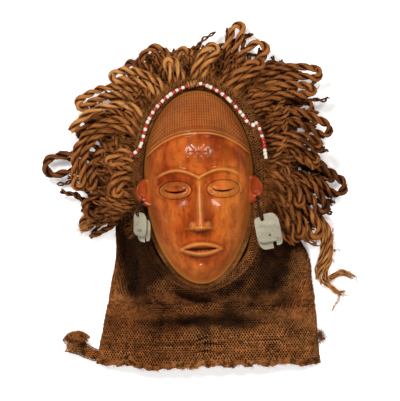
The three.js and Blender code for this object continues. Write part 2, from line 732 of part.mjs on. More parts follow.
// Beads threaded in one string: full at their middle, narrow where they meet
function beadString() {
  const stops = BEAD_ROUTE.map(([degrees, offset]) => new THREE.Vector2(degrees, offset));
  const route = new THREE.SplineCurve(stops).getPoints(BEAD.count);
  const stations = route.map(({ x: degrees, y: offset }) => {
    const angle = degrees * DEGREE;
    const [x, y] = outlinePoint(angle, offset);
    const under = Math.max(...[-2, 0, 2].map((aside) => clothTop(angle, offset + aside)));
    return new THREE.Vector3(x, y, under + BEAD.radius + 2 * CLEARANCE);
  });
  const path = new THREE.CatmullRomCurve3(stations).getSpacedPoints(2 * BEAD.count);
  const radiusAt = (share) => (Math.round(share * 2 * BEAD.count) % 2 ? BEAD.radius : BEAD.waist);
  return sweep(path, radiusAt, { sides: BEAD.sides });
}

// Pale plate with rounded corners, a slot in its upper edge and a small hole below
function plateShape() {
  const { corner, topDrop, slotX, slotWidth, slotDepth } = PLATE;
  const right = PLATE.width / 2;
  const top = PLATE.height / 2;
  const slotLeft = slotX - slotWidth / 2;
  const slotRight = slotX + slotWidth / 2;
  const shape = new THREE.Shape();
  shape.moveTo(-right, -top + corner);
  shape.quadraticCurveTo(-right, -top, -right + corner, -top);
  shape.lineTo(right - corner, -top);
  shape.quadraticCurveTo(right, -top, right, -top + corner);
  shape.lineTo(right, top - corner);
  shape.quadraticCurveTo(right - topDrop, top, right - corner, top);
  shape.lineTo(slotRight, top);
  shape.lineTo(slotRight, top - slotDepth);
  shape.lineTo(slotLeft, top - slotDepth);
  shape.lineTo(slotLeft, top - topDrop);
  shape.lineTo(-right + corner / 2, top - topDrop);
  shape.quadraticCurveTo(-right, top - topDrop, -right, top - corner);
  const hole = new THREE.Path();
  hole.absarc(PLATE.holeX, PLATE.holeY, PLATE.holeRadius, 0, 2 * Math.PI, true);
  shape.holes.push(hole);
  return shape;
}

function pendantPlate(pendant, back) {
  const shape = plateShape();
  if (back) {
    const hole = new THREE.Path();
    const x = BACK_PLATE.x - PLATE.slotX;
    const y = BACK_PLATE.y - PLATE.slotY + LOOP.drop;
    hole.absarc(x, y, LOOP.radius * 3, 0, 2 * Math.PI, true);
    shape.holes.push(hole);
  }
  const options = { depth: PLATE.thickness, bevelEnabled: false, curveSegments: 2 };
  const plate = new THREE.ExtrudeGeometry(shape, options);
  if (back) plate.rotateZ(Math.PI).translate(BACK_PLATE.x, BACK_PLATE.y, BACK_PLATE.z);
  return plate.scale(pendant.size, pendant.size, 1)
    .rotateZ(pendant.roll).rotateY(pendant.turn).rotateX(pendant.lean)
    .translate(pendant.x, pendant.y, pendant.z);
}

// Cord loop: through the lobe, the slot of the front plate and the hole of the plate behind it
function pendantCord(pendant) {
  const side = Math.sign(pendant.x);
  const [holeX, holeY] = facePlan(side * LOBE_HOLE.x, LOBE_HOLE.y);
  const onPlates = (dy, z) => new THREE.Vector3(PLATE.slotX, PLATE.slotY + dy, z)
    .multiply(new THREE.Vector3(pendant.size, pendant.size, 1))
    .applyAxisAngle(new THREE.Vector3(0, 0, 1), pendant.roll)
    .applyAxisAngle(new THREE.Vector3(0, 1, 0), pendant.turn)
    .applyAxisAngle(new THREE.Vector3(1, 0, 0), pendant.lean)
    .add(new THREE.Vector3(pendant.x, pendant.y, pendant.z));
  const behind = BACK_PLATE.z - LOOP.behind;
  const lobe = (z) => new THREE.Vector3(holeX, holeY, z);
  const loop = new THREE.CatmullRomCurve3([
    lobe(EAR.z + EAR.thickness / 2),
    lobe(EAR.z + EAR.thickness + LOOP.above),
    onPlates(LOOP.rise, PLATE.thickness + LOOP.front),
    onPlates(LOOP.radius / 2, -LOOP.radius / 2),
    onPlates(-LOOP.drop / 2, (BACK_PLATE.z + PLATE.thickness) / 2),
    onPlates(-LOOP.drop, BACK_PLATE.z + PLATE.thickness / 2),
    onPlates(3 * LOOP.radius - LOOP.drop, behind),
    onPlates(LOOP.rise + LOOP.radius, behind),
    lobe(EAR.z - LOOP.below),
  ], true);
  const path = loop.getSpacedPoints(LOOP.steps).slice(0, -1);
  return sweep(path, () => LOOP.radius, { sides: LOOP.sides, closed: true, reference: [1, 0, 0] });
}

const mask = new THREE.Group();

function addPart(name, geometry, colour, roughness, metalness = 0) {
  const material = new THREE.MeshStandardMaterial({ color: colour, roughness, metalness });
  const mesh = new THREE.Mesh(geometry, material);
  mesh.name = name;
  mask.add(mesh);
}

addPart('wooden_face', woodenFace(), COLOURS.wood, 0.35);
addPart('fibre_hood', toGeometry(fibreHood()), COLOURS.fibre, 0.95);
const keepOut = hoodSolid(HOOD_GRID.columns, HOOD_GRID.rows, 0, CLEARANCE).add(rollSolid(CLEARANCE));

LOCKS.forEach((lock, i) => {
  addPart(`hair_lock_${String(i + 1).padStart(2, '0')}`, hairLock(lock, keepOut), COLOURS.hair, 0.9);
});
addPart('hair_trailing_cord', trailingCords(keepOut), COLOURS.hair, 0.9);
addPart('bead_string', beadString(), COLOURS.bead, 0.3);
for (const pendant of PENDANTS) {
  addPart(`pendant_${pendant.side}_front`, pendantPlate(pendant, false), COLOURS.plate, 0.4);
  addPart(`pendant_${pendant.side}_back`, pendantPlate(pendant, true), COLOURS.plate, 0.4);
  addPart(`pendant_cord_${pendant.side}`, pendantCord(pendant), COLOURS.cord, 0.9);
}

export default mask;
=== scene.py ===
"""A carved wooden face mask with a netted fibre hood, a wig of looped cords, beads and ear pendants.

It lies on its back: +X is the viewer's right, +Y the crown and +Z up out of the face.
Shapes are worked out in millimetres, and put() and move_points() turn them into metres.
"""

import math
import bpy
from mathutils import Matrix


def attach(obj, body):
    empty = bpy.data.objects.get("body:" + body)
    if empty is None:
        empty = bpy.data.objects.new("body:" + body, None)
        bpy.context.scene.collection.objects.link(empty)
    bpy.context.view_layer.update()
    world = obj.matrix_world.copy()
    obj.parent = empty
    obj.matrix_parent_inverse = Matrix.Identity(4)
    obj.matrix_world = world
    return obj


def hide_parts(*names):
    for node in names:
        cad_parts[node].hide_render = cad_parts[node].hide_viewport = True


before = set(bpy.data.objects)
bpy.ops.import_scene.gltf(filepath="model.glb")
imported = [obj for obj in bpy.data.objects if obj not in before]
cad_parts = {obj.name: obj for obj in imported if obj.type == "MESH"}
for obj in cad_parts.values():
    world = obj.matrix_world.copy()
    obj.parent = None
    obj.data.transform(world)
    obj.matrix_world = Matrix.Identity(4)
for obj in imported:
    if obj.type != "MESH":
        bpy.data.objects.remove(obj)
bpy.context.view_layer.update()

from types import SimpleNamespace as Sizes

import bpy
import numpy as np
from mathutils import Vector, noise

bl_info = {
    "name": "Netted Hood Mask",
    "version": (1, 0, 0),
    "blender": (4, 5, 0),
    "location": "3D View > Sidebar > Mask",
    "description": "A carved wooden mask with a netted hood, corded wig, beads and ear pendants",
    "category": "Add Mesh",
}

MM = 0.001
TURN = 2 * math.pi

# The carved face, as the solid has it
FACE = Sizes(x=-1, y=8, tilt=math.radians(2), half_width=66, half_height=116, taper=0.1,
             rim=62, depth=68, fullness=2.6, roundness=1.8, wall=8)
BROW = Sizes(y=11, arch=9, reach=54, width=2.6, height=3.6)
EYE = Sizes(x=28, y=-3, half_width=19, half_height=10.5, height=9, slit_width=25, slit_height=2)
NOSE = Sizes(root_y=8, base_y=-48, root_height=5, tip_height=19, root_width=5.5, tip_width=10.5,
             wing_x=9.5, wing_height=6)
MOUTH = Sizes(y=-73, half_width=23, lip_rise=6, lip_width=3, lip_height=4.6, gap=5)
TEETH = Sizes(count=11, height=1.9, slot_half_width=18)
HAIRLINE = Sizes(y=62, drop=30, height=2.4)
EAR = Sizes(x=56, y=-4, half_width=20.5, half_height=18, z=83, thickness=9)
EAR_HOLLOW = Sizes(x=67, y=-1, half_width=5.5, half_height=10, depth=3)
LOBE_HOLE = Sizes(x=68.5, y=-15, radius=2.3)
PIERCED = (72, 172)
# Soft swellings: x, y, spread across, spread along, height and whether both sides have one
SWELLINGS = [
    (0, 42, 42, 26, 5, False),
    (27, 1, 19, 15, -9, True),
    (34, -36, 16, 16, 4, True),
    (0, MOUTH.y, 30, 18, 7, False),
    (0, -101, 22, 11, 6, False),
    (0, -88, 20, 5, -2.5, False),
]
FACE_GRID = Sizes(columns=172, rows=256, hollow_columns=70, hollow_rows=110)

# The cloth hood and cape, as the solid has them
HOOD = Sizes(x=-1, y=10, crown=138, height=86, roundness=2.3)
HOOD_SECTION = (4.5, 0.4)
CAPE_SECTION = (2.4, 0.66)
HEM = Sizes(y=-203, sag=5, sag_x=-30, sag_width=70, notch=3, notch_x=8, notch_width=9)
# Each row: y, left edge, right edge, height
CAPE_STATIONS = np.array([
    (10, -93, 91, 86),
    (-35, -101, 107, 81),
    (-72, -101, 130, 73),
    (-108, -107, 136, 61),
    (-150, -115, 141, 34),
    (HEM.y, -125, 145, 22),
], float)
# Folds: ends, sideways bow, width and height
FOLDS = [
    ((-80, -12), (-82, -128), -6, 12, -15),
    ((86, -40), (92, -120), 6, 11, -8),
    ((-64, -104), (-4, -143), -4, 8, 5),
    ((-28, -152), (62, -153), 5, 10, -6),
    ((52, -165), (121, -92), -12, 12, -7),
    ((-112, -181), (134, -183), 3, 8, 4),
]
# Softer folds and creases of the cloth, in the same form
SOFT_FOLDS = [
    ((-80, -18), (-80, -112), -6, 10, -9),
    ((100, -56), (28, -150), -9, 13, -9),
    ((84, -52), (130, -60), 3, 6, -8),
    ((-62, -156), (60, -158), 4, 8, -7),
    ((-30, -117), (18, -129), -3, 5, -8),
    ((-108, -178), (62, -181), 2, 1.8, -2.2),
    ((-96, -187), (44, -190), 2, 1.6, -2),
    ((-20, -172), (120, -174), -2, 1.6, -1.4),
    ((-104, -30), (-112, -150), 0, 7, 4),
    ((60, -120), (112, -150), -4, 5, 3),
]
OPENING = Sizes(gap=0.5, jaw_gap=8, jaw_angle=math.radians(50), jaw_spread=math.radians(22))
ROLL = Sizes(lift=0.25, radius=3.2, crown_extra=3, right_extra=1.6)
CORNER = Sizes(points=[(-108, -197), (-129, -194), (-147, -185), (-159, -179)], radius=2.8,
                tip_radius=5.6, flat=2.1)

# The wig, as the solids have it
TIER_HEIGHTS = (19.5, 34, 48.5, 62.5)
DROOP = 15
DROOP_REACH = 75
CORD_RADIUS = 4.4
LOCK_ROOT_DEPTH = 14
# Each lock: tier, root angle, tip angle, tip distance, loop width, bulge, and whether it is one cut cord
LOCKS = [
    (2, 109, 109, 179, 30, 0, False),
    (3, 112, 131, 170, 11, 4, False),
    (2, 121, 149.5, 177, 9.5, 8, False),
    (3, 128, 157, 166, 9.5, 10, True),
    (1, 133, 160, 157, 10, 6, False),
    (1, 164, 174, 191.6, 22, 0, False),
    (2, 141, 168, 155, 9.5, 6, True),
    (3, 137, 185, 142, 10, 22, False),
    (2, 152, 186, 132, 10, 12, False),
    (3, 156, 170, 112, 9.5, 2, False),
    (3, 169, 191, 99, 10, 8, False),
    (2, 184, 195, 142, 24, 0, False),
    (0, 193, 200, 154, 10, 0, False),
    (1, 78, 76, 204.3, 12, 0, False),
    (2, 73, 63.5, 191, 19, 0, False),
    (3, 71, 62, 168, 10, 0, False),
    (3, 91, 81, 168, 12, 4, False),
    (2, 62, 41, 201, 11, 6, False),
    (1, 66, 49, 181, 11, 4, False),
    (3, 56, 38, 180, 11, 4, False),
    (1, 50, 32, 168, 13, 4, False),
    (2, 44, 20, 171, 15, 6, False),
    (3, 32, 15.5, 155, 10, 4, False),
    (2, 24, 9, 147, 10, 4, False),
    (1, 14, -4, 174, 20, 8, False),
    (2, 8, -14, 155, 12, 8, False),
    (3, 8, -14, 122, 11, 8, False),
    (3, 102, 104, 160, 10, 0, False),
    (1, 97, 96, 170, 12, 0, False),
    (1, 118, 121, 172, 12, 4, False),
    (0, 132, 148, 160, 12, 4, False),
    (0, 160, 180, 142, 12, 4, False),
    (0, 86, 84, 176, 14, 0, False),
    (0, 62, 56, 178, 14, 0, False),
    (0, 42, 28, 164, 14, 4, False),
    (0, 20, 4, 158, 13, 4, False),
    (0, 110, 112, 166, 14, 0, False),
    (2, -6, -25, 157, 14, 4, False),
    (3, -9, -31, 138, 12, 2, False),
]
TRAILING_CORDS = [
    ([(116, -18), (142, -30), (154, -50), (153, -76), (147, -96), (152, -110)], 6.2),
    ([(148, -102), (158, -102), (172, -95), (189.3, -102)], 3),
    ([(150, -106), (160, -114), (168, -119), (177, -120)], 2.8),
]

# Bead string: angle round the face and distance out from its edge
BEAD_ROUTE = [
    (162, 15), (158, 8.5), (153, 5.5), (147, 5.5), (141, 6.5), (133, 6.5), (123, 5.5), (111, 5), (101, 5.2),
    (92, 7), (83, 7), (74, 5), (63, 4), (53, 4), (44, 5), (37, 7), (34, 11.5), (34, 15.5), (30, 16.5),
    (25, 16.5), (19, 16), (13.6, 15),
]
BEAD = Sizes(count=62, radius=2.3, bore=0.6, clearance=0.6)
# One letter for each bead, from the left end: white or red
BEAD_COLOURS = "WRRWRWWRWRWRWWRWRWRWRWWRWRWRWWRWRWWRWRWRWWRWRWWRWRWWRWRWRRRWWW"

# Ear pendants: plates hung on cord loops through the lobes, with their angles in degrees
PLATE = Sizes(width=30, height=34, thickness=1.6, bevel=0.45, corner=10, top_drop=2.5, slot_x=-4.8,
              slot_y=11, slot_width=4.4, slot_depth=8, hole_x=1, hole_y=-9, hole_radius=1.3)
PENDANTS = {
    "left": Sizes(size=0.83, x=-70.5, y=-36, z=85, turn=-54, lean=6, roll=-3),
    "right": Sizes(size=1, x=80, y=-40, z=91.5, turn=13, lean=4, roll=11),
}
BACK_PLATE = Sizes(x=1.5, y=-9, z=-5)
LOOP = Sizes(radius=1, drop=8, front=2.4, rise=4, behind=1.9, above=2.2, below=1.6)

# The photograph's frame: its width on the mask, and its middle
VIEW = Sizes(width=480, middle=(0, -7.8), distance=4200, level=50, sensor=36)
# Square lights: name, place in metres, side, power and colour
LIGHTS = [
    ("key", (-0.6, 0.75, 1.5), 0.4, 18.5, (1.0, 0.97, 0.93)),
    ("fill", (0.6, 0.65, 1.5), 0.4, 13, (1.0, 0.98, 0.95)),
    ("low", (-0.15, -1.1, 1.4), 0.3, 15, (1.0, 0.98, 0.96)),
]
STUDIO = Sizes(aim=(0, 0, 0.05), sky=0.08, floor=2400, floor_glow=0.34)
WHITE = (1, 1, 1)


# Small maths helpers, on numbers or arrays
def mix(low, high, share):
    return low + (high - low) * share


def bell(offset, width):
    return np.exp(-((offset / width) ** 2))


def smooth(low, high, value):
    share = np.clip((value - low) / (high - low), 0, 1)
    return share * share * (3 - 2 * share)


def lumps(points, size, seed=0.0):
    """Smooth noise from -1 to 1 at each point, with lumps of that size."""
    shift = Vector((seed * 17.3, seed * -9.1, seed * 5.7))
    return np.array([noise.noise(Vector(p) / size + shift) for p in points])


def unit(vectors):
    lengths = np.linalg.norm(vectors, axis=-1, keepdims=True)
    return vectors / np.maximum(lengths, 1e-9)


def running(steps):
    """Running total of the steps, from 0."""
    return np.concatenate([[0], np.cumsum(steps)])


def lengths_along(path):
    """Distance of each point of a path from its start."""
    return running(np.linalg.norm(np.diff(path, axis=0), axis=1))


def curve_through(points, steps):
    """Catmull-Rom curve through the points, with that many steps between each two."""
    p = np.asarray(points, float)
    p = np.vstack([2 * p[0] - p[1], p, 2 * p[-1] - p[-2]])
    t = np.linspace(0, 1, steps, endpoint=False)[:, None]
    parts = []
    for a, b, c, d in zip(p, p[1:], p[2:], p[3:]):
        square = (2 * a - 5 * b + 4 * c - d) * t**2
        cube = (3 * b - a - 3 * c + d) * t**3
        parts.append(0.5 * (2 * b + (c - a) * t + square + cube))
    return np.vstack([*parts, p[-2]])


def spaced(path, step):
    """The same path with points at even steps along it."""
    lengths = lengths_along(path)
    count = max(2, int(round(lengths[-1] / step)) + 1)
    targets = np.linspace(0, lengths[-1], count)
    return np.column_stack([np.interp(targets, lengths, column) for column in path.T])


# Meshes
def put(name, points, faces=(), edges=()):
    """A new object whose mesh has these points, given in millimetres."""
    mesh = bpy.data.meshes.new(name)
    mesh.from_pydata((np.asarray(points, float) * MM).tolist(), list(edges), list(faces))
    mesh.update()
    mesh.shade_smooth()
    piece = bpy.data.objects.new(name, mesh)
    bpy.context.scene.collection.objects.link(piece)
    return piece


def put_paths(name, lines, thick):
    """A new object of open paths, with how thick the cord is at each point."""
    edges, start = [], 0
    for line in lines:
        edges += [(start + k, start + k + 1) for k in range(len(line) - 1)]
        start += len(line)
    piece = put(name, np.vstack(lines), edges=edges)
    paint(piece, "thick", np.concatenate(thick))
    return piece


def put_spots(name, places, outs, lays, sizes):
    """Points that carry the directions and the size of what stands on each."""
    piece = put(name, places)
    for label, values in (("out", outs), ("lay", lays), ("size", sizes)):
        paint(piece, label, values)
    return piece


def gathered(groups):
    """One set of spots from several, each of places with outward and lengthwise directions."""
    return [np.vstack(parts) for parts in zip(*groups)]


def picked(spots, wanted):
    return [part[wanted] for part in spots]


def paint(piece, name, values):
    """Stores one value, or one vector, for each point of the mesh."""
    values = np.asarray(values, np.float32)
    kind, field = ("FLOAT", "value") if values.ndim == 1 else ("FLOAT_VECTOR", "vector")
    attribute = piece.data.attributes.new(name, kind, "POINT")
    attribute.data.foreach_set(field, values.ravel())


def tint(piece, value):
    """Gives the whole piece one tone, which is its own colour or painted shade: 0 leaves it plain, and more
    makes it lighter.
    """
    paint(piece, "tint", np.full(len(piece.data.vertices), value))
    return piece


def points_of(piece):
    points = np.zeros(len(piece.data.vertices) * 3, np.float32)
    piece.data.vertices.foreach_get("co", points)
    return points.reshape(-1, 3).astype(float) / MM


def move_points(piece, points):
    piece.data.vertices.foreach_set("co", (points * MM).astype(np.float32).ravel())
    piece.data.update()


def finish_surface(piece, angle):
    """Smooth shading, but sharp where faces meet at more than that angle, in degrees."""
    piece.data.shade_smooth()
    piece.data.set_sharp_from_angle(angle=math.radians(angle))


def merge(piece, *others):
    """Joins other pieces into one."""
    with bpy.context.temp_override(active_object=piece, selected_editable_objects=[piece, *others]):
        bpy.ops.object.join()


def apply_modifiers(piece):
    """Turns a piece's modifiers into plain mesh."""
    mesh = bpy.data.meshes.new_from_object(piece.evaluated_get(bpy.context.evaluated_depsgraph_get()))
    piece.modifiers.clear()
    old = piece.data
    piece.data = mesh
    bpy.data.meshes.remove(old)
    return mesh


def grid_faces(rows, columns, wrap=False):
    """Quads over a grid of points, stored row by row, wrapping round the columns if asked."""
    c = np.arange(columns if wrap else columns - 1)[None, :]
    after = (c + 1) % columns
    here = np.arange(rows - 1)[:, None] * columns
    above = here + columns
    return np.stack([here + c, here + after, above + after, above + c], -1).reshape(-1, 4)


def frames_along(path, closed=False):
    """Sideways and upward directions at each point of a path."""
    if closed:
        across, over = frames_along(np.vstack([path[-1], path, path[0]]))
        return across[1:-1], over[1:-1]
    along = unit(np.gradient(path, axis=0))
    across = unit(np.cross((0, 0, 1), along))
    return across, np.cross(along, across)


def tube(path, radii, sides, flat=1.0, closed=False):
    """Points and faces of a round section carried along a path."""
    path = np.asarray(path, float)
    across, over = frames_along(path, closed)
    angles = (np.arange(sides) * TURN / sides)[None, :, None]
    around = flat * np.cos(angles) * across[:, None, :] + np.sin(angles) * over[:, None, :]
    rings = path[:, None, :] + np.broadcast_to(radii, len(path))[:, None, None] * around
    last = (len(path) - 1) * sides
    faces = grid_faces(len(path), sides, wrap=True).tolist()
    if closed:
        faces += [[last + k, last + (k + 1) % sides, (k + 1) % sides, k] for k in range(sides)]
    else:
        faces += [list(range(sides))[::-1], list(range(last, last + sides))]
    return rings.reshape(-1, 3), faces


def settle(piece, material=None, replaces=()):
    """Gives a finished piece its material, its body and the solids that it stands for."""
    points = points_of(piece)
    points[:, 2] = np.maximum(points[:, 2], 0)
    move_points(piece, points)
    if material is not None:
        piece.data.materials.clear()
        piece.data.materials.append(material)
    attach(piece, "root")
    if replaces:
        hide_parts(*replaces)
    return piece


# Nodes
class Nodes:
    """Adds nodes to a tree and links them by the names of their sockets."""

    def __init__(self, tree):
        self.tree = tree

    def link(self, value, node, name):
        self.tree.links.new(value, node.inputs[name])

    def add(self, kind, inputs=None, **settings):
        node = self.tree.nodes.new(kind)
        for key, value in settings.items():
            setattr(node, key, value)
        for key, value in (inputs or {}).items():
            if isinstance(key, str):
                socket = next(s for s in node.inputs if s.enabled and s.name == key)
            else:
                socket = node.inputs[key]
            if isinstance(value, bpy.types.NodeSocket):
                self.tree.links.new(value, socket)
            else:
                socket.default_value = value
        return node

    def out(self, kind, inputs=None, output=None, **settings):
        node = self.add(kind, inputs, **settings)
        return node.outputs[output] if output else next(s for s in node.outputs if s.enabled)

    def maths(self, operation, a, b=0.0):
        return self.out("ShaderNodeMath", {0: a, 1: b}, operation=operation)

    def times(self, a, b):
        return self.maths("MULTIPLY", a, b)

    def plus(self, a, b):
        return self.maths("ADD", a, b)

    def combined(self, **parts):
        return self.out("ShaderNodeCombineXYZ", parts)

    def vector(self, operation, a, b=(0, 0, 0)):
        return self.out("ShaderNodeVectorMath", {0: a, 1: b}, operation=operation)

    def scaled(self, vector, factor):
        return self.out("ShaderNodeVectorMath", {0: vector, 3: factor}, operation="SCALE")

    def blend(self, share, a, b, how="MIX"):
        return self.out("ShaderNodeMix", {"Factor": share, "A": a, "B": b}, data_type="RGBA", blend_type=how)

    def ramp(self, value, stops):
        node = self.add("ShaderNodeValToRGB", {"Fac": value})
        elements = node.color_ramp.elements
        while len(elements) < len(stops):
            elements.new(0.5)
        for element, (place, colour) in zip(elements, stops):
            element.position = place
            element.color = (*colour, 1)
        return node.outputs["Color"]

    def mottled(self, share, base, value, stops):
        """The base colour, multiplied by a ramp of the value."""
        return self.blend(share, base, self.ramp(value, stops), "MULTIPLY")

    def attribute(self, name, output="Fac"):
        return self.out("ShaderNodeAttribute", output=output, attribute_name=name)

    def place(self):
        return self.out("ShaderNodeTexCoord", output="Object")

    def grain(self, vector, scale, detail=4, stretch=(1, 1, 1)):
        """Noise of that scale, stretched along the axes."""
        placed = self.out("ShaderNodeMapping", {"Vector": vector, "Scale": stretch})
        return self.out("ShaderNodeTexNoise", {"Vector": placed, "Scale": scale, "Detail": detail})

    def named(self, name, kind="FLOAT"):
        """A named attribute of the geometry."""
        return self.out("GeometryNodeInputNamedAttribute", {"Name": name}, data_type=kind)

    def store(self, geometry, name, value, kind="FLOAT", domain="POINT"):
        inputs = {"Geometry": geometry, "Name": name, "Value": value}
        return self.out("GeometryNodeStoreNamedAttribute", inputs, data_type=kind, domain=domain)


def new_material(name, **values):
    """A material with a principled shader that has these plain values, and its node builder."""
    material = bpy.data.materials.new(name)
    material.use_nodes = True
    shader = material.node_tree.nodes["Principled BSDF"]
    for key, value in values.items():
        shader.inputs[key.replace("_", " ").title().replace("Ior", "IOR")].default_value = value
    return material, Nodes(material.node_tree), shader


def raise_surface(nodes, shader, height, distance, strength=0.6):
    """Bumps a shader by a height from 0 to 1 that stands for that distance, in metres."""
    bump = nodes.out("ShaderNodeBump", {"Strength": strength, "Distance": distance, "Height": height})
    nodes.link(bump, shader, "Normal")


def new_generator(name, numbers, counts=()):
    """A Geometry Nodes tree with these inputs and a material: its node builder and its inputs."""
    tree = bpy.data.node_groups.new(name, "GeometryNodeTree")
    sockets = [("Geometry", "Geometry"), *((label, "Float") for label in numbers),
               *((label, "Int") for label in counts), ("Material", "Material")]
    for label, kind in sockets:
        tree.interface.new_socket(label, in_out="INPUT", socket_type=f"NodeSocket{kind}")
    tree.interface.new_socket("Geometry", in_out="OUTPUT", socket_type="NodeSocketGeometry")
    return Nodes(tree), tree.nodes.new("NodeGroupInput").outputs


def end_generator(nodes, geometry, material):
    """Ends a tree with Realize Instances and Set Material."""
    real = nodes.out("GeometryNodeRealizeInstances", {"Geometry": geometry})
    soft = nodes.out("GeometryNodeSetShadeSmooth", {"Geometry": real, "Shade Smooth": True})
    painted = nodes.out("GeometryNodeSetMaterial", {"Geometry": soft, "Material": material})
    nodes.link(painted, nodes.tree.nodes.new("NodeGroupOutput"), "Geometry")
    return nodes.tree


def on_spots(nodes, get, shape):
    """Ends a tree with the shape placed on each point by its out, lay and size attributes."""
    out, lay = nodes.named("out", "FLOAT_VECTOR"), nodes.named("lay", "FLOAT_VECTOR")
    axes = {"Primary Axis": out, "Secondary Axis": lay}
    turned = nodes.out("FunctionNodeAxesToRotation", axes, primary_axis="Z", secondary_axis="X")
    inputs = {"Points": get["Geometry"], "Instance": shape, "Rotation": turned, "Scale": nodes.named("size")}
    return end_generator(nodes, nodes.out("GeometryNodeInstanceOnPoints", inputs), get["Material"])


def thin_line(nodes, **ends):
    """A straight strand of five points, and how far along it each one is."""
    line = nodes.out("GeometryNodeCurvePrimitiveLine", ends)
    line = nodes.out("GeometryNodeResampleCurve", {"Curve": line, "Count": 5}, mode="COUNT")
    return line, nodes.out("GeometryNodeSplineParameter", output="Factor")


def thin_strand(nodes, get, line, offset, **scale):
    """A strand bent by an offset, with a section as thick as the tree's input says."""
    line = nodes.out("GeometryNodeSetPosition", {"Geometry": line, "Offset": offset})
    ring = nodes.out("GeometryNodeCurvePrimitiveCircle", {"Resolution": 3, "Radius": get["Thickness"]})
    return nodes.out("GeometryNodeCurveToMesh", {"Curve": line, "Profile Curve": ring, **scale})


def grow(seed_piece, tree, **values):
    """Runs a tree on a piece and turns the result into the piece's own plain mesh."""
    modifier = seed_piece.modifiers.new(tree.name, "NODES")
    modifier.node_group = tree
    for item in tree.interface.items_tree:
        key = item.name.replace(" ", "_")
        if item.in_out == "INPUT" and key in values:
            modifier[item.identifier] = values[key]
    mesh = apply_modifiers(seed_piece)
    materials = [material for material in mesh.materials if material]
    mesh.materials.clear()
    for material in materials:
        mesh.materials.append(material)
    mesh.name = seed_piece.name
    return seed_piece


# The carved face
def face_plan(x, y):
    """From the face's own plan to the mask's."""
    c, s = math.cos(FACE.tilt), math.sin(FACE.tilt)
    return FACE.x + x * c - y * s, FACE.y + x * s + y * c


def outline(angle, offset=0.0):
    """Point of the egg outline at an angle, moved out by an offset, in the mask's plan."""
    dx, dy = np.cos(angle), np.sin(angle)
    x = (FACE.half_width * (1 + FACE.taper * dy) + offset) * dx
    y = (FACE.half_height + offset) * dy
    return face_plan(x, y)


def hairline(x):
    return HAIRLINE.y - HAIRLINE.drop * (np.abs(x) / FACE.half_width) ** 2.4


def nose_height(x, y):
    share = np.clip((NOSE.root_y - y) / (NOSE.root_y - NOSE.base_y), 0, 1)
    ridge = mix(NOSE.root_height, NOSE.tip_height, share**1.2)
    width = mix(NOSE.root_width, NOSE.tip_width, share**2)
    ends = smooth(NOSE.base_y - 5, NOSE.base_y, y) * smooth(NOSE.root_y + 12, NOSE.root_y - 4, y)
    wings = NOSE.wing_height * bell(np.abs(x) - NOSE.wing_x, 4.5) * bell(y - NOSE.base_y - 4, 5)
    return ridge * bell(x, width) * ends + wings * smooth(NOSE.base_y - 4, NOSE.base_y, y)


def mouth_height(x, y):
    across = np.clip(np.abs(x) / MOUTH.half_width, 0, 1)
    rise = MOUTH.lip_rise * (1 - across**2)
    upper = bell(y - MOUTH.y - rise, MOUTH.lip_width)
    lower = bell(y - MOUTH.y + rise, MOUTH.lip_width)
    fade = smooth(MOUTH.half_width + 5, MOUTH.half_width - 1, np.abs(x))
    return MOUTH.lip_height * np.maximum(upper, lower) * fade


def carving(x, y):
    """The main carving, as the solid has it: height above the plain dome."""
    side = np.abs(x)
    height = HAIRLINE.height * smooth(-1.5, 1.5, y - hairline(x))
    for sx, sy, across, along, rise, mirrored in SWELLINGS:
        height = height + rise * bell((side if mirrored else x) - sx, across) * bell(y - sy, along)
    brow_y = BROW.y + BROW.arch * np.sin(math.pi * side / BROW.reach)
    height = height + BROW.height * bell(y - brow_y, BROW.width) * smooth(BROW.reach, BROW.reach - 12, side)
    lid = 1 - ((side - EYE.x) / EYE.half_width) ** 2 - ((y - EYE.y) / EYE.half_height) ** 2
    height = height + EYE.height * np.sqrt(np.maximum(0, lid))
    return height + nose_height(x, y) + mouth_height(x, y)


# Fine carving: sizes of the grooves, in millimetres
GROOVE = Sizes(pitch=3.0, depth=0.7, cross_pitch=3.4, cross_depth=0.3, start=7.5)
LATTICE = Sizes(x=47, y=58, half_width=10, half_height=17, pitch=4.6, depth=0.75)
HAIR_BANDS = [(1.8, 1.1, 0.9), (5.2, 1.1, 0.8)]
# Lines cut in the brow and cheeks: start, end, half width and depth
CUTS = [
    ((0, 30), (0, 52), 0.8, 0.5), ((-11, 41), (11, 41), 0.8, 0.5),
    ((-4, 53), (4, 53), 0.7, 0.4), ((-4, 29), (4, 29), 0.7, 0.4),
    ((-12, 37), (-12, 45), 0.7, 0.4), ((12, 37), (12, 45), 0.7, 0.4),
    ((-8, 33), (-3, 38), 0.6, 0.35), ((8, 33), (3, 38), 0.6, 0.35),
    ((-8, 49), (-3, 44), 0.6, 0.35), ((8, 49), (3, 44), 0.6, 0.35),
]
MIRRORED_CUTS = [
    ((24, -25), (25, -33), 0.7, 0.45),
    ((29, -26), (30, -34), 0.7, 0.45),
    ((34, -25.5), (35, -33.5), 0.7, 0.45),
]
CHEEK_RINGS = Sizes(x=39, y=-50, radii=(4, 7, 10), width=0.7, depth=0.4)


def line_cut(x, y, cut):
    (ax, ay), (bx, by), width, depth = cut
    length = math.hypot(bx - ax, by - ay)
    along = np.clip(((x - ax) * (bx - ax) + (y - ay) * (by - ay)) / length**2, 0, 1)
    distance = np.hypot(x - ax - along * (bx - ax), y - ay - along * (by - ay))
    return -depth * bell(distance, width)


def coiffure(x, y):
    """How far a point is inside the carved coiffure, from 0 to 1."""
    return smooth(0, 2.5, y - hairline(x))


def lattice_share(x, y):
    side = np.abs(x)
    across, along = (side - LATTICE.x) / LATTICE.half_width, (y - LATTICE.y) / LATTICE.half_height
    return smooth(1.1, 0.9, np.hypot(across, along))


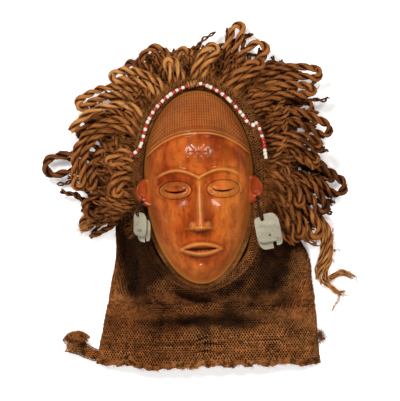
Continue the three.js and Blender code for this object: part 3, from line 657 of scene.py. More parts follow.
def fine_carving(x, y):
    """Grooves, bands, scars and lines, added to the main carving."""
    side = np.abs(x)
    above = y - hairline(x)
    height = np.zeros_like(x)
    for place, width, rise in HAIR_BANDS:
        height += rise * bell(above - place, width)
    hair = smooth(GROOVE.start, GROOVE.start + 2, above)
    diamonds = lattice_share(x, y)
    fan = x * (1 + 0.0016 * above)
    grooves = -GROOVE.depth * bell(np.sin(math.pi * fan / GROOVE.pitch), 0.42)
    rows = -GROOVE.cross_depth * bell(np.sin(math.pi * above / GROOVE.cross_pitch), 0.4)
    a = bell(np.sin(math.pi * (side + y) / LATTICE.pitch), 0.4)
    b = bell(np.sin(math.pi * (side - y) / LATTICE.pitch), 0.4)
    lattice = -LATTICE.depth * np.maximum(a, b)
    height += hair * mix(grooves + rows, lattice, diamonds)
    for cut in CUTS:
        height += line_cut(x, y, cut)
    for cut in MIRRORED_CUTS:
        height += line_cut(side, y, cut)
    ring = np.hypot(side - CHEEK_RINGS.x, y - CHEEK_RINGS.y)
    lower = smooth(4, -4, y - CHEEK_RINGS.y)
    for radius in CHEEK_RINGS.radii:
        height -= CHEEK_RINGS.depth * bell(ring - radius, CHEEK_RINGS.width) * lower
    lid = np.sqrt(((side - EYE.x) / EYE.half_width) ** 2 + ((y - EYE.y) / EYE.half_height) ** 2)
    height += 0.8 * bell((lid - 1.12) * 12, 1.1) - 0.5 * bell((lid - 0.82) * 12, 0.8)
    slit_y = EYE.y - 2.5 * (1 - ((side - EYE.x) / (EYE.slit_width / 2)) ** 2)
    by_slit = smooth(EYE.slit_width / 2 + 3, EYE.slit_width / 2 - 2, np.abs(side - EYE.x))
    height -= 1.2 * bell(y - slit_y, 1.8) * by_slit
    across = np.clip(side / MOUTH.half_width, 0, 1)
    rise = MOUTH.lip_rise * (1 - across**2)
    lip = smooth(MOUTH.half_width + 4, MOUTH.half_width - 2, side)
    for edge in (-1, 1):
        height -= 0.7 * bell(y - MOUTH.y - edge * (rise + 4.4), 0.8) * lip
        height -= 0.5 * bell(y - MOUTH.y - edge * (rise - 3.4), 0.7) * lip
    teeth = bell(np.sin(math.pi * (TEETH.count + 0.5) * x / (2 * TEETH.slot_half_width)), 0.35)
    height -= 0.5 * teeth * smooth(5.5, 3.5, np.abs(y - MOUTH.y)) * smooth(20, 17, side)
    nostril = np.hypot((side - 7.5) / 1.6, (y - NOSE.base_y + 1) / 1.1)
    height -= 1.4 * np.exp(-(nostril**2))
    height -= 0.6 * bell(np.hypot(side - NOSE.wing_x, y - NOSE.base_y - 3) - 5.5, 0.8) * smooth(5, 8, side)
    return height


def face_height(x, y, inset=0.0, fine=True):
    """Height of the wood over a point of the face's own plan."""
    dy = np.clip(y / (FACE.half_height - inset), -1, 1)
    dx = x / ((FACE.half_width - inset) * (1 + FACE.taper * dy))
    out = np.minimum(1, np.hypot(dx, dy))
    dome = (FACE.depth - inset) * (1 - out**FACE.fullness) ** (1 / FACE.roundness)
    cut = carving(x, y)
    if inset > 0:
        cut = np.minimum(0, cut)
    kept = 1 - out**8
    if fine:
        cut = cut + fine_carving(x, y) * smooth(1, 0.97, out) / np.maximum(kept, 0.15)
    return FACE.rim + dome + cut * kept


def uneven_steps(count, focus, spread, strength):
    """Steps from -1 to 1, closer together round the focus."""
    value = np.linspace(-1, 1, 2001)
    sums = np.cumsum(1 + strength * bell(value - focus, spread))
    sums = (sums - sums[0]) / (sums[-1] - sums[0])
    return np.interp(np.linspace(0, 1, count + 1), sums, value)


def dome_piece(name, columns, rows, inset, floor_drop, fine):
    """A dome over the egg outline, closed below by a flat floor."""
    u, v = np.meshgrid(uneven_steps(columns, 0, 0.55, 0.25), uneven_steps(rows, -0.2, 0.6, 0.35))
    dx = u * np.sqrt(1 - v * v / 2)
    dy = v * np.sqrt(1 - u * u / 2)
    x = (FACE.half_width - inset) * dx * (1 + FACE.taper * dy)
    y = (FACE.half_height - inset) * dy
    z = face_height(x, y, inset, fine)
    edge = (np.abs(u) > 0.9999) | (np.abs(v) > 0.9999)
    z[edge] = FACE.rim
    points = np.stack([x, y, z], -1).reshape(-1, 3)
    wide, high = columns + 1, rows + 1
    faces = grid_faces(high, wide).tolist()
    index = np.arange(wide * high).reshape(high, wide)
    rim = np.concatenate([index[0, :-1], index[:-1, -1], index[-1, :0:-1], index[:0:-1, 0]])
    around = np.roll(rim, -1)
    middle = len(points)
    if floor_drop:
        low = points[rim] - (0, 0, floor_drop)
        start = len(points)
        points = np.vstack([points, low])
        lows = start + np.arange(len(rim))
        faces += np.stack([rim, lows, np.roll(lows, -1), around], -1).tolist()
        rim, around = lows, np.roll(lows, -1)
        middle = len(points)
    points = np.vstack([points, (0, 0, FACE.rim - floor_drop)])
    faces += [[middle, b, a] for a, b in zip(rim.tolist(), around.tolist())]
    return put(name, points, faces)


def prism_piece(name, shape, low, high):
    """A closed prism over an outline that runs anticlockwise."""
    shape = np.asarray(shape, float)
    count = len(shape)
    points = np.vstack([np.column_stack([shape, np.full(count, level)]) for level in (low, high)])
    faces = [list(range(count))[::-1], list(range(count, 2 * count))]
    faces += [[k, (k + 1) % count, count + (k + 1) % count, count + k] for k in range(count)]
    return put(name, points, faces)


def oval(x, y, half_width, half_height, count=48):
    angles = np.arange(count) * TURN / count
    return np.column_stack([x + half_width * np.cos(angles), y + half_height * np.sin(angles)])


def mirrored(points, side):
    """The same outline on that side, still anticlockwise."""
    return points if side > 0 else (points * (-1, 1))[::-1]


def slit_outline(side):
    """Crescent between the lids, low in the middle."""
    x = np.linspace(-1, 1, 25)
    sag = -2.5 * (1 - x**2)
    thick = EYE.slit_height / 2 * (1 - x**2)
    lower = np.column_stack([x, sag - thick])
    upper = np.column_stack([x, sag + thick])[::-1][1:-1]
    shape = np.vstack([lower, upper]) * (EYE.slit_width / 2, 1)
    return shape + (side * EYE.x, EYE.y)


def mouth_outline():
    """Open mouth whose edges are cut into small teeth."""
    half = TEETH.slot_half_width
    count = 4 * TEETH.count + 1
    k = np.arange(count)
    x = mix(-half, half, (k + 0.5) / count)
    rise = MOUTH.gap / 2 * (1 - (x / half) ** 4)
    tooth = TEETH.height * np.isin(k % 4, (2, 3))
    edge = np.maximum(0.25, rise - tooth)
    lower = np.column_stack([x, -edge])
    upper = np.column_stack([x, np.roll(edge, 2)])[::-1]
    return np.vstack([[(-half, 0)], lower, [(half, 0)], upper]) + (0, MOUTH.y)


def ear_piece(side):
    """Half-round ear tab: a rounded rim round a shallow bowl, flat below."""
    rings, spokes = 26, 72
    share = np.linspace(0, 1, rings)[:, None]
    angle = (np.arange(spokes) * TURN / spokes)[None, :]
    x = EAR.x + EAR.half_width * share * np.cos(angle)
    y = EAR.y + EAR.half_height * share * np.sin(angle)
    bowl = np.hypot((x - EAR_HOLLOW.x) / EAR_HOLLOW.half_width, (y - EAR_HOLLOW.y) / EAR_HOLLOW.half_height)
    top = EAR.z + EAR.thickness * (1 - share**10) ** 0.35 - 0.8 * share**2
    z = top - EAR_HOLLOW.depth * smooth(1.25, 0.55, bowl) + 0.5 * bell(bowl - 1.5, 0.3) * (share < 0.98)
    z = np.maximum(z, EAR.z + 0.5)
    x, y = np.broadcast_to(x, z.shape), np.broadcast_to(y, z.shape)
    points = np.stack([side * x, y, z], -1).reshape(-1, 3)[spokes - 1:]
    points[0] = (side * EAR.x, EAR.y, z[0, 0])
    faces = [[0, 1 + k, 1 + (k + 1) % spokes] for k in range(spokes)]
    faces += (grid_faces(rings - 1, spokes, wrap=True)[:, ::-1] + 1).tolist()
    rim = np.arange(spokes) + 1 + (rings - 2) * spokes
    low = points[rim] * (1, 1, 0) + (0, 0, EAR.z)
    start = len(points)
    points = np.vstack([points, low, (side * EAR.x, EAR.y, EAR.z)])
    middle = len(points) - 1
    for k in range(spokes):
        after = (k + 1) % spokes
        faces.append([int(rim[k]), start + k, start + after, int(rim[after])])
        faces.append([middle, start + after, start + k])
    if side < 0:
        faces = [face[::-1] for face in faces]
    return put("ear_blank", points, faces)


def combine(piece, tool, how):
    """Joins a tool piece to a piece or cuts it away, and removes the tool."""
    modifier = piece.modifiers.new("carve", "BOOLEAN")
    modifier.object = tool
    modifier.operation = how
    modifier.solver = "MANIFOLD"
    apply_modifiers(piece)
    bpy.data.objects.remove(tool)


def carved_face():
    """The whole carved block, hollow behind, pierced at the eyes, mouth and lobes."""
    piece = dome_piece("carved_face", FACE_GRID.columns, FACE_GRID.rows, 0, 0, True)
    for side in (-1, 1):
        combine(piece, ear_piece(side), "UNION")
    hollow = dome_piece("hollow_blank", FACE_GRID.hollow_columns, FACE_GRID.hollow_rows, FACE.wall, 1, False)
    combine(piece, hollow, "DIFFERENCE")
    cuts = [prism_piece("slit_blank", slit_outline(side), *PIERCED) for side in (-1, 1)]
    cuts.append(prism_piece("mouth_blank", mouth_outline(), *PIERCED))
    lobe = oval(LOBE_HOLE.x, LOBE_HOLE.y, LOBE_HOLE.radius, LOBE_HOLE.radius, 24)
    cuts += [prism_piece("lobe_blank", mirrored(lobe, side), *PIERCED) for side in (-1, 1)]
    for cut in cuts:
        combine(piece, cut, "DIFFERENCE")
    points = points_of(piece)
    x, y = points[:, 0], points[:, 1]
    ring = [(r * math.cos(a), r * math.sin(a)) for r in (1.1, 2.6) for a in np.arange(8) * TURN / 8]
    around = sum(face_height(x + dx, y + dy) for dx, dy in ring) / len(ring)
    outside = points[:, 2] > face_height(x, y) - 1.5
    on_dome = np.abs(points[:, 2] - face_height(x, y)) < 1
    relief = np.where(on_dome, face_height(x, y) - around, 0)
    paint(piece, "ridge", np.clip(relief / 0.9, 0, 1))
    paint(piece, "recess", np.clip(-relief / 0.8, 0, 1))
    rim = np.hypot(x / FACE.half_width, y / FACE.half_height)
    paint(piece, "coiffure", np.maximum(coiffure(x, y), 0.8 * smooth(1, 1.05, rim)) * outside)
    # Painted shade darkens the face towards its outer edge and over the ears; the blotches are the wood's
    # own mottling
    blotches = smooth(0.5, 0.75, 0.5 + 0.5 * lumps(points, 30, 12))
    paint(piece, "blotches_and_edge_shade", np.clip(smooth(0.84, 1.04, rim) + 0.5 * blotches, 0, 1))
    paint(piece, "inside", (~outside & (points[:, 2] < face_height(x, y, fine=False) - 3)).astype(float))
    plan_x, plan_y = face_plan(x, y)
    move_points(piece, np.column_stack([plan_x, plan_y, points[:, 2]]))
    finish_surface(piece, 50)
    return piece


# The cloth
def hood_station(y):
    """Left edge, right edge and height of the cloth at each y."""
    y = np.asarray(y, float)
    out = np.clip((y - HOOD.y) / HOOD.crown, 0, 1)
    share = (1 - out**HOOD.roundness) ** (1 / HOOD.roundness)
    _, left, right, _ = CAPE_STATIONS[0]
    crown = (
        mix(HOOD.x, left, share),
        mix(HOOD.x, right, share),
        HOOD.height * (1 - out ** HOOD_SECTION[0]) ** HOOD_SECTION[1],
    )
    rows = CAPE_STATIONS[:, 0]
    last = len(rows) - 1
    i = np.clip(np.searchsorted(-rows, -y, side="right") - 1, 0, last - 1)
    share = (rows[i] - y) / (rows[i] - rows[i + 1])
    s2, s3 = share**2, share**3
    cape = []
    for k in (1, 2, 3):
        column = CAPE_STATIONS[:, k]
        near, far = column[i], column[i + 1]
        slope_near = (far - column[np.maximum(0, i - 1)]) / 2
        slope_far = (column[np.minimum(last, i + 2)] - near) / 2
        cape.append(near * (2 * s3 - 3 * s2 + 1) + slope_near * (s3 - 2 * s2 + share)
                    + far * (3 * s2 - 2 * s3) + slope_far * (s3 - s2))
    return [np.where(y >= HOOD.y, a, b) for a, b in zip(crown, cape)]


def fold_height(x, y, folds=(*FOLDS, *SOFT_FOLDS)):
    total = 0
    for (ax, ay), (bx, by), bow, width, height in folds:
        dx, dy = bx - ax, by - ay
        length = math.hypot(dx, dy)
        along = ((x - ax) * dx + (y - ay) * dy) / length**2
        across = ((y - ay) * dx - (x - ax) * dy) / length
        bowed = across - 4 * bow * along * (1 - along)
        total = total + height * bell(bowed, width) * smooth(-0.15, 0.15, along) * smooth(1.15, 0.85, along)
    return total


def cloth_height(x, y):
    """Height of the cloth over a point of the plan."""
    left, right, height = hood_station(y)
    half = np.maximum((right - left) / 2, 1e-6)
    out = np.minimum(1, np.abs(x - (left + right) / 2) / half)
    cape = smooth(HOOD.y, -70, y)
    power = mix(HOOD_SECTION[0], CAPE_SECTION[0], cape)
    root = mix(HOOD_SECTION[1], CAPE_SECTION[1], cape)
    profile = (1 - out**power) ** root
    return np.maximum(0, height * profile + fold_height(x, y) * smooth(1, 0.9, out))


def hem_bow(x, y):
    """How far the cloth hangs lower towards the hem."""
    sag = -HEM.sag * bell(x - HEM.sag_x, HEM.sag_width) + HEM.notch * bell(x - HEM.notch_x, HEM.notch_width)
    return sag * smooth(HOOD.y, HEM.y, y)


def opening_offset(angle):
    to_jaw = np.minimum(np.abs(angle - 1.5 * math.pi + OPENING.jaw_angle),
                        np.abs(angle - 1.5 * math.pi - OPENING.jaw_angle))
    return OPENING.gap + OPENING.jaw_gap * bell(to_jaw, OPENING.jaw_spread)


def roll_radius(angle):
    crown, right = 0.5 + 0.5 * np.sin(angle), 0.5 + 0.5 * np.cos(angle)
    return ROLL.radius + ROLL.crown_extra * crown + ROLL.right_extra * right


def roll_middle(angle):
    """Middle of the rolled edge, seen from the middle of the face."""
    radius = roll_radius(angle)
    x, y = outline(angle, opening_offset(angle) + radius)
    return np.stack([x, y, cloth_height(x, y) + radius * ROLL.lift], -1)


def inside_opening(x, y, share):
    """Whether points lie inside the face opening, grown by that share of the roll's thickness."""
    angles = np.linspace(0, TURN, 361)
    edge_x, edge_y = outline(angles, opening_offset(angles) + 2 * share * roll_radius(angles))
    turn = np.arctan2(edge_y - FACE.y, edge_x - FACE.x) % TURN
    reach = np.hypot(edge_x - FACE.x, edge_y - FACE.y)
    order = np.argsort(turn)
    here = np.arctan2(y - FACE.y, x - FACE.x) % TURN
    limit = np.interp(here, turn[order], reach[order], period=TURN)
    return np.hypot(x - FACE.x, y - FACE.y) < limit


CLOTH = Sizes(rows=112, columns=112, underside=24, thickness=2.2, crease=1.3, turn_y=50)


def cloth_shell():
    """The hood and cape as one bag: domed on top, flat below, open at the hem and round the face."""
    straight = int(CLOTH.rows * 0.8)
    crown_end = HOOD.y + HOOD.crown - 0.6
    turn = np.sin(np.linspace(0, 1, CLOTH.rows - straight + 1)[1:] * math.pi / 2)
    ys = np.concatenate([np.linspace(HEM.y, CLOTH.turn_y, straight), mix(CLOTH.turn_y, crown_end, turn)])
    low = CLOTH.thickness / 2 + 0.1
    rings = []
    steps = np.linspace(0, 1, CLOTH.columns)
    out = mix(2 * steps - 1, -np.cos(math.pi * steps), 0.5)
    under = np.linspace(1, -1, CLOTH.underside + 2)[1:-1]
    for y in ys:
        left, right, _ = hood_station(y)
        middle, half = (left + right) / 2, (right - left) / 2 - CLOTH.thickness / 2
        x = middle + half * np.concatenate([out, under])
        z = cloth_height(x, np.full_like(x, y)) - CLOTH.thickness / 2
        z[len(out):] = low
        rings.append(np.column_stack([x, y + hem_bow(x, y), np.maximum(z, low)]))
    count = len(rings[0])
    points = np.vstack(rings)
    top = np.tile(np.arange(count) < len(out), len(rings))
    rise = lumps(points, 26, 1) + 0.5 * lumps(points, 9, 2)
    points[:, 2] += np.where(top & (points[:, 2] > 6), CLOTH.crease * rise, 0)
    ragged = lumps(points * (1, 0, 1), 7, 3) + 0.6 * lumps(points * (1, 0, 1), 2.6, 4)
    points[:count, 1] += 1.6 * ragged[:count]
    faces = grid_faces(len(rings), count, wrap=True)
    centres = points[faces].mean(1)
    hidden = inside_opening(centres[:, 0], centres[:, 1], 0.5) & (centres[:, 2] > 12)
    faces = faces[~hidden].tolist()
    faces.append(list(range((len(rings) - 1) * count, len(rings) * count)))
    piece = put("hood_cloth", points, faces)
    drop_loose(piece)
    thicken(piece, CLOTH.thickness)
    # Painted shade in the folds, under the face and in shadow patches, with dirt, darkening the cloth's
    # colour
    paint(piece, "soiled", soiled(points_of(piece)))
    return piece


def drop_loose(piece):
    """Removes the points that no face uses."""
    mesh = piece.data
    used = np.zeros(len(mesh.vertices), bool)
    loops = np.zeros(len(mesh.loops), np.int32)
    mesh.loops.foreach_get("vertex_index", loops)
    used[loops] = True
    points = points_of(piece)[used]
    renumbered = np.cumsum(used) - 1
    faces = [[int(renumbered[i]) for i in face.vertices] for face in mesh.polygons]
    mesh.clear_geometry()
    mesh.from_pydata((points * MM).tolist(), [], faces)
    mesh.shade_smooth()


def thicken(piece, thickness):
    """Gives a sheet that thickness in millimetres, half on each side."""
    solid = piece.modifiers.new("thickness", "SOLIDIFY")
    solid.thickness = thickness * MM
    solid.offset = 0
    apply_modifiers(piece)


# Netting: stitches stand in rows on the cloth and on its rolled edge
NET = Sizes(pitch=3.4, row=2.8, lift=0.5, start=3.5, cape_y=-60, hem_y=-135)


def section_line(y):
    """The cloth's top edge to edge at one y, with its length measured from the face's middle line."""
    left, right, _ = hood_station(y)
    middle, half = (left + right) / 2, (right - left) / 2
    x = middle + half * np.sin(np.linspace(-1, 1, 501) * math.pi / 2)
    z = cloth_height(x, np.full_like(x, y))
    lengths = running(np.hypot(np.diff(x), np.diff(z)))
    return x, z, lengths - np.interp(FACE.x, x, lengths)


def on_cloth(lengths, y):
    x, z, along = section_line(y)
    px = np.interp(lengths, along, x)
    return np.column_stack([px, y + hem_bow(px, y), np.interp(lengths, along, z)])


def cloth_rows():
    """The y of each row of stitches, at even steps over the cloth's middle line."""
    y = np.linspace(HEM.y + NET.start, HOOD.y + HOOD.crown - 1, 1500)
    z = cloth_height(np.full_like(y, FACE.x), y)
    z[y > 0] = np.minimum.accumulate(z[y > 0])
    lengths = running(np.hypot(np.diff(y), np.diff(z)))
    return np.interp(np.arange(0, lengths[-1], NET.row), lengths, y)


def net_points():
    """Place, outward direction, row direction of every stitch on the cloth."""
    rows = []
    step = 0.8
    for row, y in enumerate(cloth_rows()):
        _, _, along = section_line(y)
        count = int(along[-1] / NET.pitch) - int(along[0] / NET.pitch)
        lengths = (np.arange(count) + int(along[0] / NET.pitch) + 0.5 * (row % 2)) * NET.pitch
        lengths = lengths[(lengths > along[0] + 1.5) & (lengths < along[-1] - 1.5)]
        if len(lengths) < 2:
            continue
        here = on_cloth(lengths, y)
        lay = unit(on_cloth(lengths + step, y) - on_cloth(lengths - step, y))
        beyond = min(y + step, HOOD.y + HOOD.crown - 0.2)
        beside = unit(on_cloth(lengths, beyond) - on_cloth(lengths, y - step))
        rows.append((here, unit(np.cross(lay, beside)), lay))
    spots = gathered(rows)
    x, y, z = spots[0].T
    return picked(spots, ~inside_opening(x, y, 0.86) & (z > 1.5))


def roll_net_points():
    """The same for the rolled edge, from its inner side over the top to its outer side."""
    angles = np.linspace(0, TURN, 2400, endpoint=False)
    line = roll_middle(angles)
    lengths = lengths_along(line)
    count = int(lengths[-1] / NET.pitch)
    rows = []
    across, over = frames_along(line, closed=True)
    along = np.cross(across, over)
    arc = math.radians(240)
    last = int(arc * (ROLL.radius + ROLL.crown_extra + ROLL.right_extra / 2) / NET.row)
    for row in range(last + 1):
        around = mix(-30, 210, row / last) * math.pi / 180
        targets = (np.arange(count) + 0.5 * (row % 2)) * lengths[-1] / count
        pick = np.searchsorted(lengths, targets).clip(0, len(angles) - 1)
        out = math.cos(around) * across[pick] + math.sin(around) * over[pick]
        rows.append((line[pick] + out * roll_radius(angles[pick])[:, None], out, along[pick]))
    return gathered(rows)


def stitch_tree():
    """One looped stitch on each point: a short strand that arches over the row before it."""
    nodes, get = new_generator("looped_stitches", ["Pitch", "Row", "Thickness", "Lift"])
    half = nodes.times(get["Pitch"], 0.5)
    line, share = thin_line(nodes, Start=nodes.combined(X=nodes.times(half, -1)), End=nodes.combined(X=half))
    wave = nodes.maths("COSINE", nodes.times(share, TURN))
    aside = nodes.times(wave, nodes.times(get["Row"], -0.5))
    above = nodes.times(wave, nodes.times(get["Lift"], -0.5))
    return on_spots(nodes, get, thin_strand(nodes, get, line, nodes.combined(Y=aside, Z=above)))


def net_piece(name, spots, tree, settings, seed, worn):
    """A piece of netting with one stitch at each spot, darkened with the cloth's painted shade and dirt, and
    dirty in lumps where it is worn.
    """
    places, outs, lays = spots
    rng = np.random.default_rng(seed)
    lift = outs * NET.lift
    turn = rng.normal(0, 0.08, len(places))[:, None]
    lays = unit(lays + np.cross(outs, lays) * turn)
    spread = places + lift + rng.normal(0, 0.12, places.shape)
    piece = put_spots(name, spread, outs, lays, rng.uniform(0.92, 1.1, len(places)))
    paint(piece, "tone", rng.uniform(0, 1, len(places)))
    dirt = smooth(0.42, 0.68, 0.5 + 0.5 * lumps(places, 6, 44)) if worn else 0
    # The stitches carry the cloth's painted shade and dirt, and their own dirt lumps where worn
    paint(piece, "soiled", np.maximum(soiled(places), 0.85 * dirt))
    return grow(piece, tree, **settings)


# Painted shadows on the cloth, where its folds, the face and the hem throw shade: middle, half sizes, turn
# in degrees and depth
PAINTED_SHADOWS = [
    (-71, -80, 15, 48, 3, 1.6),
    (-90, -34, 18, 30, -10, 1.0),
    (-96, -8, 14, 30, 0, 0.6),
    (-8, -126, 15, 6, -8, 0.7),
    (0, -158, 62, 9, 0, 0.55),
    (-40, -96, 26, 34, 24, 0.35),
    (86, -96, 18, 34, -30, 1.2),
    (104, -60, 24, 13, -12, 0.7),
    (54, -134, 14, 30, -48, 0.45),
    (-30, -181, 76, 2.6, 2, 0.5),
    (-142, -182, 9, 5, 20, 1.1),
]


def painted_shadow_depth(x, y):
    """How dark the painted shadow patches are at each point."""
    total = 0
    for middle_x, middle_y, half_x, half_y, turn, depth in PAINTED_SHADOWS:
        c, s = math.cos(math.radians(turn)), math.sin(math.radians(turn))
        dx, dy = x - middle_x, y - middle_y
        across, along = (dx * c + dy * s) / half_x, (dy * c - dx * s) / half_y
        total = total + depth * np.exp(-(across**2) - along**2)
    return total


# Weights of the painted shade in the folds, under the jaw and in the shadow patches, of the dirt patches,
# and of the darkening towards the crown
DIRT_AND_SHADE = Sizes(fold=0.6, jaw=0.15, stain=1.15, patch=0.4, band=0.5)


def soiled(points):
    """How dark the cloth is painted: painted shade in its folds, close under the face and in the shadow
    patches, dirt in random lumps, and darker towards the crown.
    """
    x, y = points[:, 0], points[:, 1]
    fold = np.clip(-fold_height(x, y) / 11, 0, 1) ** 1.3
    reach = np.hypot((x - FACE.x) / FACE.half_width, (y - FACE.y) / FACE.half_height)
    jaw = smooth(1.55, 1.12, reach) * smooth(20, -30, y)
    patch = smooth(0.55, 0.8, 0.5 + 0.5 * lumps(points, 34, 41))
    band = smooth(-10, 30, y)
    rough = 0.9 + 0.4 * lumps(points, 9, 43)
    # Painted shade in the folds, under the jaw and in the shadow patches; the random lumps below are dirt
    dark = DIRT_AND_SHADE.fold * fold + DIRT_AND_SHADE.jaw * jaw + DIRT_AND_SHADE.stain * painted_shadow_depth(x, y) * rough
    return np.clip(dark + DIRT_AND_SHADE.patch * patch + DIRT_AND_SHADE.band * band, 0, 1)


def hood_roll():
    """The rolled edge round the face opening."""
    angles = np.linspace(0, TURN, 240, endpoint=False)
    line = roll_middle(angles)
    radii = roll_radius(angles) - NET.lift * (1 + 0.25 * lumps(line, 6, 5))
    return put("hood_roll", *tube(line, radii, 16, closed=True))


RIM = Sizes(offset=1.7, z=65.5, radius=1.6, first=186, last=352, sink=9)


def rim_line():
    """Path of the thin bound edge where the cloth meets the wood, round the jaw."""
    angles = np.radians(np.linspace(RIM.first, RIM.last, 160))
    x, y = outline(angles, RIM.offset)
    return np.column_stack([x, y, np.full(len(x), RIM.z)])


def rim_binding():
    line = rim_line()
    return put("rim_binding", *tube(line, RIM.radius * (1 + 0.15 * lumps(line, 5, 61)), 8))


def rim_points():
    """Stitches wound over the bound edge."""
    line = spaced(rim_line(), 2.1)
    across, over = frames_along(line)
    along = np.cross(across, over)
    rows = []
    for around in (-20, 25, 70, 115, 160, 200):
        a = math.radians(around)
        out = math.cos(a) * across + math.sin(a) * over
        rows.append((line + out * RIM.radius, out, unit(0.5 * along + np.cross(out, along))))
    return gathered(rows)


def lining():
    """The cloth between the bound edge and the rolled edge, sunk between them."""
    angles = np.radians(np.linspace(RIM.first, RIM.last, 160))
    steps = np.linspace(0, 1, 14)
    roll = roll_middle(angles)
    rim = rim_line()
    rows = []
    for share in steps:
        row = mix(rim, roll, share)
        row[:, 2] -= RIM.sink * np.sin(math.pi * share)
        rows.append(row)
    points = np.vstack(rows)
    points[:, 2] += 0.8 * lumps(points, 7, 62)
    piece = put("lining", points, grid_faces(len(steps), len(angles)).tolist())
    thicken(piece, 1.2)
    # The whole lining is painted a little darker.
    paint(piece, "soiled", np.full(len(piece.data.vertices), 0.3))
    return piece


HEM_ROLL = Sizes(radius=2.3, step=1.6)


def hem_line():
    """Path of the hem over the top layer of the cloth, from edge to edge."""
    _, _, along = section_line(HEM.y)
    lengths = np.arange(along[0] + 2, along[-1] - 2, HEM_ROLL.step)
    line = on_cloth(lengths, HEM.y)
    line[:, 1] += 4.2 * lumps(line, 14, 6) + 2.2 * lumps(line, 4.5, 7)
    line[:, 1] += KNOT.shift * bell(line[:, 0] - KNOT.x, KNOT.width)
    line[:, 2] = np.maximum(line[:, 2] + 1.2 * lumps(line, 7, 8), HEM_ROLL.radius + 1)
    return line


def hem_radii(line):
    uneven = 1.2 + 1.0 * lumps(line, 8, 9) + 0.5 * lumps(line, 2.8, 10)
    return HEM_ROLL.radius * uneven * (1 + KNOT.swell * bell(line[:, 0] - KNOT.x, KNOT.width))


def hem_edge():
    """The thick, uneven edge that finishes the hem."""
    line = hem_line()
    return put("hem_edge", *tube(line, hem_radii(line), 9))


def corner_line():
    """Path and thickness of the curled corner of the cape."""
    lift = mix(CORNER.radius, CORNER.tip_radius, np.linspace(0, 1, len(CORNER.points)) ** 2)
    line = curve_through(np.column_stack([CORNER.points, lift]), 14)
    share = np.linspace(0, 1, len(line))
    return line, mix(CORNER.radius, CORNER.tip_radius, share**2)


def corner_flap():
    """The corner of the cape, curled outwards on the ground."""
    line, radii = corner_line()
    radii = (radii - 0.5) * np.sqrt(1 - np.linspace(0, 0.97, len(line)) ** 8)
    points, faces = tube(line, radii, 20, flat=CORNER.flat)
    groove = 1.6 * bell(lumps(points, 12, 11) - 0.2, 0.25)
    points[:, 2] = np.maximum(0.3, points[:, 2] - groove * (points[:, 2] > 5))
    return put("corner_flap", points, faces)


# The curled lip at the end of the corner, and the knotted lump of the hem
LIP = Sizes(points=[(-161, -179, 6), (-156, -173, 8.5), (-146, -171, 9.5), (-137, -176, 8)], radius=4.6)
KNOT = Sizes(x=-88, width=5, swell=1.1, shift=5)


def lip_line():
    return curve_through(LIP.points, 12)


def corner_lip():
    """The rolled lip at the end of the corner."""
    line = lip_line()
    ends = np.sqrt(np.maximum(0.03, 1 - np.abs(np.linspace(-1, 1, len(line))) ** 6))
    return put("corner_lip", *tube(line, LIP.radius * ends * (0.95 + 0.25 * lumps(line, 6, 12)), 14))


def wound_points(line, radius, arounds, seed):
    """Stitches wound over a rolled edge."""
    across, over = frames_along(line)
    along = np.cross(across, over)
    rng = np.random.default_rng(seed)
    rows = []
    for around in arounds:
        a = math.radians(around) + rng.normal(0, 0.25, len(line))[:, None]
        out = np.cos(a) * across + np.sin(a) * over
        places = line + out * np.reshape(radius, (-1, 1))
        rows.append((places, out, unit(along + 0.8 * np.cross(out, along))))
    spots = gathered(rows)
    return picked(spots, spots[0][:, 2] > 0.9)


TUFT = Sizes(x=142, y=-173, z=8, spread=9, count=220)


def fray_spots(seed):
    """Frayed ends along the hem, on the corner's lip and in a tuft at the right edge."""
    rng = np.random.default_rng(seed)
    hem = spaced(hem_line(), 0.5)
    lip = spaced(lip_line(), 0.12)
    rises = [
        (hem, (0, -0.6, 0.6), 1.3 * HEM_ROLL.radius),
        (lip, (-0.2, 0.5, 0.6), LIP.radius),
        (np.repeat([[TUFT.x, TUFT.y, TUFT.z]], TUFT.count, axis=0), (0.9, 0.1, 0.2), TUFT.spread),
    ]
    places, lays = [], []
    for line, lean, radius in rises:
        out = unit(rng.normal(0, 1, line.shape) + lean)
        places.append(line + out * radius * rng.uniform(0.3, 1, (len(line), 1)))
        lays.append(unit(out + 0.7 * rng.normal(0, 1, line.shape)))
    places, lays = np.vstack(places), np.vstack(lays)
    places[:, 2] = np.maximum(places[:, 2], 1.2)
    lays[:, 2] = np.abs(lays[:, 2])
    return places, unit(np.cross(lays, rng.normal(0, 1, lays.shape))), lays


def corner_points():
    line, radii = corner_line()
    path = spaced(np.column_stack([line, radii]), NET.row * 0.8)
    line, radii = path[:, :3], path[:, 3]
    across, over = frames_along(line)
    rows = []
    for row in range(len(line) - 1):
        wide = radii[row] * CORNER.flat
        count = int(1.3 * math.pi * wide / NET.pitch)
        a = (np.arange(count) + 0.5 * (row % 2)) / count * math.pi * 1.1 - 0.05 * math.pi
        c, s = np.cos(a)[:, None], np.sin(a)[:, None]
        places = line[row] + wide * c * across[row] + radii[row] * s * over[row]
        outs = unit(c / CORNER.flat * across[row] + s * over[row])
        rows.append((places, outs, unit(-CORNER.flat * s * across[row] + c * over[row])))
    return gathered(rows)


# The wig
def hood_reach(angle):
    """Distance of the hood's edge from its middle, in one direction."""
    _, left, right, _ = CAPE_STATIONS[0]
    c = np.abs(np.cos(angle) / ((right - left) / 2)) ** HOOD.roundness
    s = np.abs(np.sin(angle) / HOOD.crown) ** HOOD.roundness
    return (c + s) ** (-1 / HOOD.roundness)


def round_hood(angle, reach):
    """The plan's x and y at an angle and a distance from the hood's middle."""
    return HOOD.x + reach * np.cos(angle), HOOD.y + reach * np.sin(angle)


def tier_height(tier, x, y):
    dx, dy = x - HOOD.x, y - HOOD.y
    beyond = np.hypot(dx, dy) - hood_reach(np.arctan2(dy, dx))
    return TIER_HEIGHTS[tier] - DROOP * smooth(0, DROOP_REACH, beyond)


